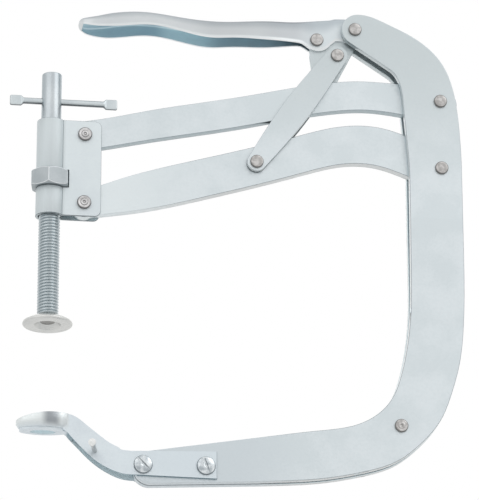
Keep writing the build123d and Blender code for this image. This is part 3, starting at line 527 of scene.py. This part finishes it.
# %% A finish for every node
finish_of = {
    zinc_plate: "frame_plate_front frame_plate_rear toggle_plate",
    zinc_lower: "lower_arm",
    zinc_link: "link_front link_rear",
    zinc_arm: "upper_arm",
    zinc_head: "clamp_head",
    zinc_jaw: "jaw",
    zinc_bright: "screw_spindle",
    zinc_nut: "hex_nut jaw_nuts",
    zinc_pad: "pressure_pad",
    zinc_pin: "jaw_pin",
    zinc_bar: "tommy_bar",
    zinc_screw: "jaw_screws",
    lever_satin: "lever",
    rivet_steel: (
        "frame_rivet lever_pivot_rivet upper_arm_rivet lower_arm_rivet lever_lobe_rivet link_top_rivet"
        " link_bottom_rivet"
    ),
    rivet_marked: "head_rivet_upper head_rivet_lower",
    inner_steel: "frame_bush jaw_spacer link_washers",
}
for material, names in finish_of.items():
    for name in names.split():
        slots = nodes[name].data.materials
        slots.clear()
        slots.append(material)
    print(material.name, "on", len(names.split()), "pieces")

# %% [markdown]
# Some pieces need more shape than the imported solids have: a real thread, rounded rivet
# heads, a lever with soft shoulders. Each is built from plain lists of points and faces
# in millimetres, rides on the same body as the solid, and stands for it.

# %% Helpers for pieces
CORNER_STEPS = 4
TURNED_STEPS = 64
TURNED_MIN_R = 0.004
SAME_POINT = 0.001
lay_along_x = Matrix.Rotation(math.radians(90), 4, "Y")
lay_along_y = Matrix.Rotation(math.radians(90), 4, "X")


def box_of(node):
    """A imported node's low and high corners in mm."""
    low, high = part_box(node)
    return low / MM, high / MM


def rounded(corners, radius):
    """A profile of (radius, height) corners with its inner corners rounded."""
    path = [corners[0]]
    for before, corner, after in zip(corners, corners[1:], corners[2:]):
        corner = Vector(corner)
        back = Vector(before) - corner
        ahead = Vector(after) - corner
        reach = min(radius, 0.45 * back.length, 0.45 * ahead.length)
        start = corner + back.normalized() * reach
        end = corner + ahead.normalized() * reach
        for k in range(CORNER_STEPS + 1):
            t = k / CORNER_STEPS
            path.append(tuple(start * (1 - t) ** 2 + corner * 2 * t * (1 - t) + end * t**2))
    return path + [corners[-1]]


def ring(radius, height, steps):
    """Points of a level circle about Z."""
    turns = [2 * math.pi * k / steps for k in range(steps)]
    return [(radius * math.cos(turn), radius * math.sin(turn), height) for turn in turns]


def skin(rings):
    """Points and faces that join one ring of points to the next, with both ends capped."""
    steps = len(rings[0])
    points = [point for one in rings for point in one]
    faces = []
    for row in range(len(rings) - 1):
        for k in range(steps):
            after = (k + 1) % steps
            low, high = row * steps, (row + 1) * steps
            faces.append((low + k, low + after, high + after, high + k))
    faces.append(tuple(reversed(range(steps))))
    faces.append(tuple(range(len(points) - steps, len(points))))
    return points, faces


def turned(profile):
    """Points and faces of a solid turned about Z from (radius, height) corners."""
    return skin([ring(max(radius, TURNED_MIN_R), height, TURNED_STEPS) for radius, height in profile])


def mesh_from(name, made, place=None):
    """A clean closed mesh from points and faces in mm."""
    points, faces = made
    mesh = bpy.data.meshes.new(name)
    mesh.from_pydata([tuple(v * MM for v in point) for point in points], [], faces)
    shape = bmesh.new()
    shape.from_mesh(mesh)
    bmesh.ops.remove_doubles(shape, verts=shape.verts, dist=SAME_POINT * MM)
    bmesh.ops.dissolve_degenerate(shape, edges=shape.edges, dist=SAME_POINT * MM)
    bmesh.ops.recalc_face_normals(shape, faces=shape.faces)
    if place:
        bmesh.ops.transform(shape, matrix=place, verts=shape.verts)
    open_edges = sum(1 for edge in shape.edges if len(edge.link_faces) != 2)
    shape.to_mesh(mesh)
    shape.free()
    print(name, len(mesh.polygons), "faces,", open_edges, "open edges")
    return mesh


def add_piece(name, made, material, node, sharp_angle=35.0, place=None):
    """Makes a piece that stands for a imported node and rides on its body."""
    mesh = mesh_from(name, made, place)
    mesh.shade_smooth()
    mesh.set_sharp_from_angle(angle=math.radians(sharp_angle))
    mesh.materials.append(material)
    piece = bpy.data.objects.new(name, mesh)
    scene.collection.objects.link(piece)
    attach(piece, nodes[node]["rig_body"])
    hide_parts(node)
    return piece


def cutter_from(made, place):
    """A scratch object that only cuts another and is then removed."""
    cutter = bpy.data.objects.new("cutter", mesh_from("cutter", made, place))
    scene.collection.objects.link(cutter)
    return cutter


def cut_away(piece, cutter):
    """Cuts one piece's mesh with another's and throws the cutter away."""
    knife = piece.modifiers.new("cut", "BOOLEAN")
    knife.operation = "DIFFERENCE"
    knife.solver = "EXACT"
    knife.object = cutter
    ready = piece.evaluated_get(bpy.context.evaluated_depsgraph_get())
    mesh = bpy.data.meshes.new_from_object(ready)
    piece.modifiers.clear()
    piece.data = mesh
    bpy.data.objects.remove(cutter)


print("the lever's box in mm:", [round(v, 1) for corner in box_of("lever") for v in corner])

# %% [markdown]
# The screw is one turned skin: the stud, the thread and the smooth shank. The thread is
# an M12 with a pitch of 1.75 mm. Its rings climb one pitch in each turn, so the last
# point of a ring meets the first point of the ring one pitch higher.

# %% Screw
THREAD_PITCH = 1.75
CREST_R = 6.0
ROOT_R = 4.93
THREAD_LOW = 58.6
THREAD_HIGH = 164.0
SHANK_R = 5.65
STUD_R = 3.0
SHANK_ROUND = 0.9
STUD_HEAD_R = 1.35 * STUD_R
STUD_HEAD_H = 1.2
STUD_ROUND = 0.4
SCREW_STEPS = 56
THREAD_SHAPE = ((0.0, ROOT_R), (0.25, ROOT_R), (0.55, CREST_R), (0.70, CREST_R))


def thread_rings():
    """Rings of the thread from its lower end to its upper end, each climbing one pitch."""
    turns = math.ceil((THREAD_HIGH - THREAD_LOW) / THREAD_PITCH)
    rings = []
    for turn in range(-1, turns + 2):
        for share, radius in THREAD_SHAPE:
            one = []
            for k in range(SCREW_STEPS):
                z = THREAD_LOW + (turn + share + k / SCREW_STEPS) * THREAD_PITCH
                inside = THREAD_LOW < z < THREAD_HIGH
                z = min(max(z, THREAD_LOW), THREAD_HIGH)
                edge = CREST_R - SHANK_ROUND + min(z - THREAD_LOW, THREAD_HIGH - z)
                r = min(radius, max(edge, ROOT_R)) if inside else ROOT_R
                angle = 2 * math.pi * k / SCREW_STEPS
                one.append((r * math.cos(angle), r * math.sin(angle), z))
            rings.append(one)
    return rings


def screw_skin(stud_low, top):
    """Points and faces of the whole screw, from the stud's end to the shank's top."""
    neck = stud_low + STUD_HEAD_H
    stud = [(0.01, stud_low), (STUD_HEAD_R, stud_low), (STUD_HEAD_R, neck), (STUD_R, neck)]
    shank = [(ROOT_R, THREAD_HIGH), (SHANK_R, THREAD_HIGH), (SHANK_R, top), (0.01, top)]
    stud = rounded(stud, STUD_ROUND)
    shank = rounded(shank, SHANK_ROUND)
    below = [ring(r, z, SCREW_STEPS) for r, z in stud + [(STUD_R, THREAD_LOW)]]
    thread = thread_rings()
    above = [ring(r, z, SCREW_STEPS) for r, z in shank]
    points, faces = skin(below + thread + above)
    first = len(below) * SCREW_STEPS
    last = first + (len(thread) - 1) * SCREW_STEPS
    joined = []
    for face in faces:
        seam = len(face) == 4 and first <= face[0] < last and face[0] % SCREW_STEPS == SCREW_STEPS - 1
        if seam:
            low, _, _, high = face
            climb = len(THREAD_SHAPE) * SCREW_STEPS
            right_low = min(low + 1 - SCREW_STEPS + climb, last)
            right_high = min(high + 1 - SCREW_STEPS + climb, last)
            face = (low, right_low, right_high, high)
        joined.append(face)
    return points, joined


screw_low, screw_high = box_of("screw_spindle")
screw_made = screw_skin(screw_low.z, screw_high.z)
screw = add_piece("screw_threaded", screw_made, zinc_bright, "screw_spindle")

# %% [markdown]
# The tommy bar is a round rod with flattened ends. Each section along it is a round or a
# rounded rectangle, and the two shapes blend over the last few millimetres.

# %% Tommy bar
BAR_R = 1.8
PADDLE_LENGTH = 6.0
PADDLE_BLEND = 1.9
PADDLE_HALF_DEPTH = 0.95
PADDLE_SQUARENESS = 4.5
TIP_ROUND = 0.75
TIP_HEIGHT = 0.72
TIP_DEPTH = 0.45
BAR_SECTION_STEPS = 40


def bar_section(x, half_height, half_depth, squareness, middle_z):
    """A ring of points across the bar. squareness 2 is round, more is squarer."""
    one = []
    for k in range(BAR_SECTION_STEPS):
        turn = 2 * math.pi * k / BAR_SECTION_STEPS
        c, s = math.cos(turn), math.sin(turn)
        y = half_depth * math.copysign(abs(c) ** (2 / squareness), c)
        z = half_height * math.copysign(abs(s) ** (2 / squareness), s)
        one.append((x, y, middle_z + z))
    return one


def bar_sections(low, high):
    """Sections from the left paddle's tip to the right one's."""
    middle_z = (low.z + high.z) / 2
    paddle_half = (high.z - low.z) / 2
    places = [TIP_ROUND * (k / 8) ** 2 for k in range(9)]
    places += [TIP_ROUND + (PADDLE_LENGTH - TIP_ROUND) * k / 6 for k in range(1, 7)]
    places += [PADDLE_LENGTH + PADDLE_BLEND * k / 10 for k in range(1, 11)]
    sections = []
    for from_tip in places:
        tip = math.sqrt(max(0.0, 1 - (1 - min(from_tip / TIP_ROUND, 1)) ** 2))
        flat = 1 - min(max((from_tip - PADDLE_LENGTH) / PADDLE_BLEND, 0), 1)
        flat = flat * flat * (3 - 2 * flat)
        half_height = BAR_R + (paddle_half - BAR_R) * flat
        half_depth = BAR_R + (PADDLE_HALF_DEPTH - BAR_R) * flat
        half_height *= TIP_HEIGHT + (1 - TIP_HEIGHT) * tip
        half_depth *= TIP_DEPTH + (1 - TIP_DEPTH) * tip
        sections.append((from_tip, half_height, half_depth, 2 + (PADDLE_SQUARENESS - 2) * flat))
    left = [bar_section(low.x + d, h, t, s, middle_z) for d, h, t, s in sections]
    right = [bar_section(high.x - d, h, t, s, middle_z) for d, h, t, s in reversed(sections)]
    return left + right


bar_low, bar_high = box_of("tommy_bar")
add_piece("tommy_bar_formed", skin(bar_sections(bar_low, bar_high)), zinc_bar, "tommy_bar")

# %% [markdown]
# The rod slides through a hole across the shank. The hole is a little wider than the
# rod, and it is cut right through.

# %% Hole for the bar
HOLE_R = BAR_R + 0.25
HOLE_HALF_LENGTH = 12.0

bar_height = (bar_low.z + bar_high.z) / 2
hole = skin([ring(HOLE_R, height, 40) for height in (-HOLE_HALF_LENGTH, HOLE_HALF_LENGTH)])
cut_away(screw, cutter_from(hole, Matrix.Translation((0, 0, bar_height * MM)) @ lay_along_x))
print("hole at z", round(bar_height, 1), "mm;", len(screw.data.polygons), "faces in the screw")

# %% [markdown]
# Rivet heads are small turned forms: a rounded rim, and on some of them the ring and the
# dot that the riveting tool left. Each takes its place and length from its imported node.

# %% Rivets
RIVET_SHANK_R = 2.0
RIVET_HEAD_H = 1.5
HEAD_SHAPES = {
    "plain": ((0.0, 0.02), (0.45, 0.0), (0.8, 0.06), (0.93, 0.18), (0.985, 0.36), (1.0, 0.6)),
    "ringed": (
        (0.0, 0.3),
        (0.13, 0.3),
        (0.2, 0.06),
        (0.48, 0.0),
        (0.54, 0.2),
        (0.62, 0.22),
        (0.69, 0.03),
        (0.86, 0.08),
        (0.96, 0.26),
        (1.0, 0.6),
    ),
}
RIVETS = {
    "frame_rivet": "ringed",
    "lever_pivot_rivet": "plain",
    "upper_arm_rivet": "plain",
    "lower_arm_rivet": "plain",
    "lever_lobe_rivet": "plain",
    "link_top_rivet": "plain",
    "link_bottom_rivet": "plain",
    "head_rivet_upper": "ringed",
    "head_rivet_lower": "ringed",
}


def rivet_profile(half_length, head_r, shape):
    """(radius, height) corners of a rivet along Z, from one head's middle to the other's."""
    upper = [(share * head_r, half_length - drop) for share, drop in HEAD_SHAPES[shape]]
    upper += [(head_r, half_length - RIVET_HEAD_H), (RIVET_SHANK_R, half_length - RIVET_HEAD_H)]
    lower = [(radius, -height) for radius, height in upper]
    return lower + list(reversed(upper))


for node, shape in RIVETS.items():
    low, high = box_of(node)
    middle = (low + high) / 2
    profile = rivet_profile((high.y - low.y) / 2, (high.x - low.x) / 2, shape)
    place = Matrix.Translation(middle * MM) @ lay_along_y
    add_piece(node + "_formed", turned(profile), nodes[node].data.materials[0], node, 50.0, place)
print("rivets:", len(RIVETS))

# %% [markdown]
# The jaw's two screws have low domed heads with a slot. The slot is a real cut, each
# turned its own way.

# %% Jaw screws
SCREW_HEAD_R = 5.2
SCREW_HEAD_H = 2.4
SLOT_WIDTH = 1.35
SLOT_DEPTH = 1.0
SLOT_TURNS = (135.0, 110.0)
SLOTTED_SHANK_R = 3.0
HEAD_ROUND = 0.35
DOME = ((1.0, 0.35), (0.93, 0.6), (0.72, 0.83), (0.4, 0.97))


def block(half_x, half_y, z_low, z_high):
    """Points and faces of a plain block about Z."""
    corners = ((-half_x, -half_y), (half_x, -half_y), (half_x, half_y), (-half_x, half_y))
    return skin([[(x, y, z) for x, y in corners] for z in (z_low, z_high)])


def slotted_screw(name, x, z, tip_y, head_y, slot_turn):
    """A screw across the tongues, with its domed and slotted head towards the user."""
    length = tip_y - head_y
    seat = length - SCREW_HEAD_H
    profile = [(0.0, 0.0), (SLOTTED_SHANK_R, 0.0), (SLOTTED_SHANK_R, seat), (SCREW_HEAD_R, seat)]
    profile += [(wide * SCREW_HEAD_R, seat + high * SCREW_HEAD_H) for wide, high in DOME]
    profile += [(0.0, length)]
    place = Matrix.Translation(Vector((x, tip_y, z)) * MM) @ lay_along_y
    made = turned(rounded(profile, HEAD_ROUND))
    screw = add_piece(name, made, zinc_screw, "jaw_screws", 40.0, place)
    turn = place @ Matrix.Rotation(math.radians(slot_turn), 4, "Z")
    slot_shape = block(2 * SCREW_HEAD_R, SLOT_WIDTH / 2, length - SLOT_DEPTH, length + 1)
    cut_away(screw, cutter_from(slot_shape, turn))


screws_low, screws_high = box_of("jaw_screws")
left_x, left_z = screws_low.x + SCREW_HEAD_R, screws_low.z + SCREW_HEAD_R
right_x, right_z = screws_high.x - SCREW_HEAD_R, screws_high.z - SCREW_HEAD_R
slotted_screw("jaw_screw_left", left_x, left_z, screws_high.y, screws_low.y, SLOT_TURNS[0])
slotted_screw("jaw_screw_right", right_x, right_z, screws_high.y, screws_low.y, SLOT_TURNS[1])
print("jaw screws at x", round(left_x, 1), "and", round(right_x, 1), "mm")

# %% [markdown]
# The pad is turned too: a raised boss, a shallow dish and a rounded rim, with the
# recess for the stud's head below. Its section is a closed line, so the two end caps of
# the skin are left out.

# %% Pad
PAD_R = 14.0
PAD_BOSS_R = 7.0
PAD_RIM = 2.6
PAD_BORE_R = 3.05
PAD_RECESS_R = 5.4
PAD_RECESS_H = 3.4
PAD_ROUND = 0.7


def pad_profile(low, top):
    """(radius, height) corners round the pad's section, from the bore out and back."""
    under = low + PAD_RECESS_H
    rim_top = low + PAD_RIM
    return [
        (PAD_BORE_R, under),
        (PAD_BORE_R, top),
        (PAD_BOSS_R - 0.6, top),
        (PAD_BOSS_R, top - 0.35),
        (PAD_BOSS_R + 1.3, top - 0.75),
        (PAD_BOSS_R + 3.4, top - 1.5),
        (PAD_R - 1.3, rim_top + 0.1),
        (PAD_R - 0.3, rim_top - 0.7),
        (PAD_R, rim_top - 1.5),
        (PAD_R - 0.2, low + 0.5),
        (PAD_R - 0.9, low),
        (PAD_RECESS_R + 2.2, low),
        (PAD_RECESS_R, under),
        (PAD_BORE_R, under),
    ]


pad_low, pad_high = box_of("pressure_pad")
pad_rings = [ring(r, z, 96) for r, z in rounded(pad_profile(pad_low.z, pad_high.z), PAD_ROUND)]
pad_points, pad_faces = skin(pad_rings)
add_piece("pad_formed", (pad_points, pad_faces[:-2]), zinc_pad, "pressure_pad", 40.0)

# %% [markdown]
# The lever is a pressed channel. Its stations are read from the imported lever: at each
# one a ray from above, from the side and from below finds its top, its width and its
# lower edge.

# %% Stations of the lever
STATIONS = 110

lever_tree = BVHTree.FromObject(nodes["lever"], bpy.context.evaluated_depsgraph_get())


def touch(start, way):
    """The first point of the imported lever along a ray, in mm, or None."""
    found = lever_tree.ray_cast(Vector(start) * MM, Vector(way))[0]
    return found / MM if found else None


def lever_station(x):
    """(x, half width, top, lower edge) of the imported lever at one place, or None."""
    above = touch((x, 0.0, 400.0), (0, 0, -1))
    beside = above and touch((x, -100.0, above.z - 0.25), (0, 1, 0))
    if not beside:
        return None
    half = -beside.y
    below = touch((x, -half + min(0.3, 0.5 * half), 0.0), (0, 0, 1))
    return (x, half, above.z, below.z) if below else None


print("lever at x 100 mm:", [round(v, 1) for v in lever_station(100.0)])

# %% [markdown]
# The new skin follows the stations and rounds the two upper corners. An outer and an
# inner skin are joined along the lower edges, and at both ends of the hollow part.

# %% Skin of the lever
SHEET = 1.4
SHOULDER_R = 2.6
ARC_STEPS = 6


def channel(x, half, top, low, shoulder):
    """Points across the channel from its left lower edge over the top to its right one."""
    shoulder = max(min(shoulder, 0.9 * half, 0.6 * (top - low)), 0.02)
    arc = [math.pi / 2 * k / ARC_STEPS for k in range(ARC_STEPS + 1)]
    left = [(-half + shoulder * (1 - math.cos(a)), top - shoulder * (1 - math.sin(a))) for a in arc]
    right = [(-y, z) for y, z in reversed(left)]
    side = [(-half, low + (top - shoulder - low) * k / 4) for k in range(4)]
    other = [(-y, z) for y, z in reversed(side)]
    return [(x, y, z) for y, z in side + left + right + other]


def lever_skin():
    """Points, faces, each point's share of the height, and the stations of the channel."""
    low, high = box_of("lever")
    shares = [0.5 - 0.5 * math.cos(math.pi * k / STATIONS) for k in range(STATIONS + 1)]
    places = [low.x + 0.05 + (high.x - low.x - 0.1) * share for share in shares]
    stations = [station for station in map(lever_station, places) if station]
    outer = [channel(*station, SHOULDER_R) for station in stations]
    hollow = [
        n
        for n, (x, half, top, edge) in enumerate(stations)
        if half > SHEET + 0.5 and top - edge > SHEET + 0.8 and low.x + 2 < x < high.x - SHEET
    ]
    first, last = hollow[0], hollow[-1]
    lining = [
        channel(x, half - SHEET, top - SHEET, edge, SHOULDER_R - SHEET)
        for x, half, top, edge in stations[first : last + 1]
    ]
    across = len(outer[0])
    end = across - 1
    points = [p for section in outer + lining for p in section]
    edges = stations + stations[first : last + 1]
    heights = []
    for (_, _, top, edge), section in zip(edges, outer + lining):
        heights += [(z - edge) / (top - edge) for _, _, z in section]

    def out(station, k):
        return station * across + k

    def inn(station, k):
        return (len(outer) + station - first) * across + k

    faces = [tuple(out(0, k) for k in range(across)), tuple(out(len(outer) - 1, k) for k in range(across))]
    faces += [tuple(inn(first, k) for k in range(across)), tuple(inn(last, k) for k in range(across))]
    for n in range(len(outer) - 1):
        faces += [(out(n, k), out(n, k + 1), out(n + 1, k + 1), out(n + 1, k)) for k in range(end)]
        if first <= n < last:
            faces += [(inn(n, k), inn(n, k + 1), inn(n + 1, k + 1), inn(n + 1, k)) for k in range(end)]
            faces.append((out(n, 0), inn(n, 0), inn(n + 1, 0), out(n + 1, 0)))
            faces.append((out(n, end), inn(n, end), inn(n + 1, end), out(n + 1, end)))
        elif n == first - 1:
            opening = (out(first, end), inn(first, end), inn(first, 0), out(first, 0))
            faces.append((out(n, 0), out(n, end), *opening))
        elif n == last:
            opening = (out(last, 0), inn(last, 0), inn(last, end), out(last, end))
            faces.append((*opening, out(n + 1, end), out(n + 1, 0)))
        else:
            faces.append((out(n, 0), out(n, end), out(n + 1, end), out(n + 1, 0)))
    print("lever stations:", len(stations), "hollow from", first, "to", last)
    return points, faces, heights, stations[first:last]


lever_points, lever_faces, lever_heights, channel_stations = lever_skin()
print("lever skin:", len(lever_points), "points and", len(lever_faces), "faces")

# %% [markdown]
# Three finishes share the lever: satin outside, a painted blue reflection and shade
# inside the channel, and a painted highlight on the sheet's own edge along the lower rim.

# %% Lever
CHANNEL_HALF = 4.4


def is_inside(face):
    """Whether a face of the lever looks into the channel."""
    if abs(face.normal.x) > 0.7 or face.center.x < channel_stations[0][0] * MM:
        return False
    sideways = abs(face.center.y) > 0.5 * MM and face.center.y * face.normal.y < 0
    return sideways or (face.normal.z < -0.5 and abs(face.center.y) < CHANNEL_HALF * MM)


def is_hem(face):
    """Whether a face is the sheet's own edge along the lower rim."""
    if face.normal.z > -0.5 or face.center.x < channel_stations[0][0] * MM:
        return False
    half = min(channel_stations, key=lambda station: abs(station[0] * MM - face.center.x))[1]
    return abs(face.center.y) > (half - SHEET + 0.1) * MM


lever = add_piece("lever_pressed", (lever_points, lever_faces), lever_satin, "lever", 42.0)
height_share = lever.data.attributes.new(HEIGHT_SHARE, "FLOAT", "POINT")
height_share.data.foreach_set("value", lever_heights)
lever.data.materials.append(lever_inside_painted_light_and_shade)
lever.data.materials.append(lever_hem_painted_highlight)
finish_count = [0, 0, 0]
for face in lever.data.polygons:
    face.material_index = 2 if is_hem(face) else int(is_inside(face))
    finish_count[face.material_index] += 1
print("lever faces outside, inside and on the hem:", finish_count)

# %% [markdown]
# Plates cut from sheet have small soft edges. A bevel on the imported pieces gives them
# the thin bright lines that show where a face meets a cut edge. Three pieces have faces
# too narrow for Blender's own limit on the width, so it is off there.

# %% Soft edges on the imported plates
EDGE_WIDTHS = {
    "frame_plate_front": 0.35,
    "frame_plate_rear": 0.35,
    "upper_arm": 0.35,
    "lower_arm": 0.35,
    "link_front": 0.5,
    "link_rear": 0.5,
    "toggle_plate": 0.5,
    "clamp_head": 0.35,
    "hex_nut": 0.25,
    "jaw": 0.35,
}
# On the head the bevel faces take a dark line of painted shade, on the nut a painted highlight.
LINES = {"clamp_head": painted_edge_shade, "hex_nut": edge_glint}
UNLIMITED = ("hex_nut", "frame_plate_front", "frame_plate_rear")
FLAT_ANGLE = math.radians(0.5)
EDGE_ANGLE = math.radians(35.0)


def ease_edges(node, width, line, clamp):
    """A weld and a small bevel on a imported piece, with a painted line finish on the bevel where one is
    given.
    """
    weld = nodes[node].modifiers.new("weld", "WELD")
    weld.merge_threshold = 0.0005 * MM
    flatten = nodes[node].modifiers.new("flatten", "DECIMATE")
    flatten.decimate_type = "DISSOLVE"
    flatten.angle_limit = FLAT_ANGLE
    bevel = nodes[node].modifiers.new("soft_edge", "BEVEL")
    bevel.width = width * MM
    bevel.segments = 2
    bevel.limit_method = "ANGLE"
    bevel.angle_limit = EDGE_ANGLE
    bevel.harden_normals = True
    bevel.use_clamp_overlap = clamp
    if line:
        nodes[node].data.materials.append(line)
        bevel.material = 1


for node, width in EDGE_WIDTHS.items():
    ease_edges(node, width, LINES.get(node), node not in UNLIMITED)
print("soft edges on", len(EDGE_WIDTHS), "pieces")

# %% [markdown]
# The light is a plain studio: an even sky, one large soft lamp high on the right, a
# weaker one on the left and one behind. The background is white only to the camera and
# to reflections. For all other light it is the dimmer sky.

# %% Sky
SKY_LEVEL = 0.62
SKY_COLOUR = (0.96, 0.98, 1.0, 1.0)

world = bpy.data.worlds.new("studio")
scene.world = world
world.use_nodes = True
sky = world.node_tree
sky.nodes.clear()
lit = put(sky, "ShaderNodeBackground", {"Color": SKY_COLOUR, "Strength": SKY_LEVEL})
white = put(sky, "ShaderNodeBackground", {"Color": (1.0, 1.0, 1.0, 1.0), "Strength": 1.0})
paths = put(sky, "ShaderNodeLightPath").outputs
seen = maths(sky, "MAXIMUM", paths["Is Camera Ray"], paths["Is Glossy Ray"])
seen = maths(sky, "MAXIMUM", seen, paths["Is Transmission Ray"])
backdrop = put(sky, "ShaderNodeMixShader", {0: seen, 1: lit.outputs[0], 2: white.outputs[0]})
put(sky, "ShaderNodeOutputWorld", {"Surface": backdrop.outputs[0]})
print("sky level", SKY_LEVEL)

# %% [markdown]
# The flat plates mirror whatever stands in front of them, a little to the right and 20
# degrees up, straight into view. The lamps keep away from there.


# %% Lamps
def soft_lamp(name, place, size, power):
    """A square lamp of a size in metres that looks at the middle of the tool."""
    data = bpy.data.lights.new(name, "AREA")
    data.shape = "SQUARE"
    data.size = size
    data.energy = power
    lamp = bpy.data.objects.new(name, data)
    lamp.location = place
    lamp.rotation_mode = "QUATERNION"
    lamp.rotation_quaternion = (CAMERA_AIM - Vector(place)).to_track_quat("-Z", "Y")
    scene.collection.objects.link(lamp)
    print(name, power, "W")


soft_lamp("lamp_right", (1.25, -1.0, 1.3), 1.4, 5.0)
soft_lamp("lamp_left", (-1.1, -1.2, 0.9), 1.6, 2.5)
soft_lamp("lamp_back", (0.3, 1.4, 0.9), 1.6, 4.0)

# %% [markdown]
# The tool is seen from below the level of its foot, so a plain floor would hide it.
# This floor shows only its upper side: from below it is clear, from above it is a
# plain pale sheet that takes the shadow.

# %% Floor
FLOOR_Z = -0.09
FLOOR_SIZE = 12.0

bpy.ops.mesh.primitive_plane_add(size=FLOOR_SIZE, location=(0.1, 0.0, FLOOR_Z))
floor = bpy.context.object
floor.name = "floor"
floor_paint = bpy.data.materials.new("floor_paint")
floor_paint.use_nodes = True
tree = floor_paint.node_tree
paint = tree.nodes["Principled BSDF"]
paint.inputs["Base Color"].default_value = (0.92, 0.92, 0.92, 1.0)
paint.inputs["Roughness"].default_value = 0.9
pale = put(tree, "ShaderNodeEmission", {"Color": (1.0, 1.0, 1.0, 1.0), "Strength": 0.95})
mirrored = put(tree, "ShaderNodeLightPath").outputs["Is Glossy Ray"]
upper = put(tree, "ShaderNodeMixShader", {0: mirrored, 1: paint.outputs[0], 2: pale.outputs[0]})
clear = put(tree, "ShaderNodeBsdfTransparent")
under = put(tree, "ShaderNodeNewGeometry").outputs["Backfacing"]
sided = put(tree, "ShaderNodeMixShader", {0: under, 1: upper.outputs[0], 2: clear.outputs[0]})
tree.links.new(sided.outputs[0], tree.nodes["Material Output"].inputs["Surface"])
floor.data.materials.append(floor_paint)
print("floor at", FLOOR_Z, "m")
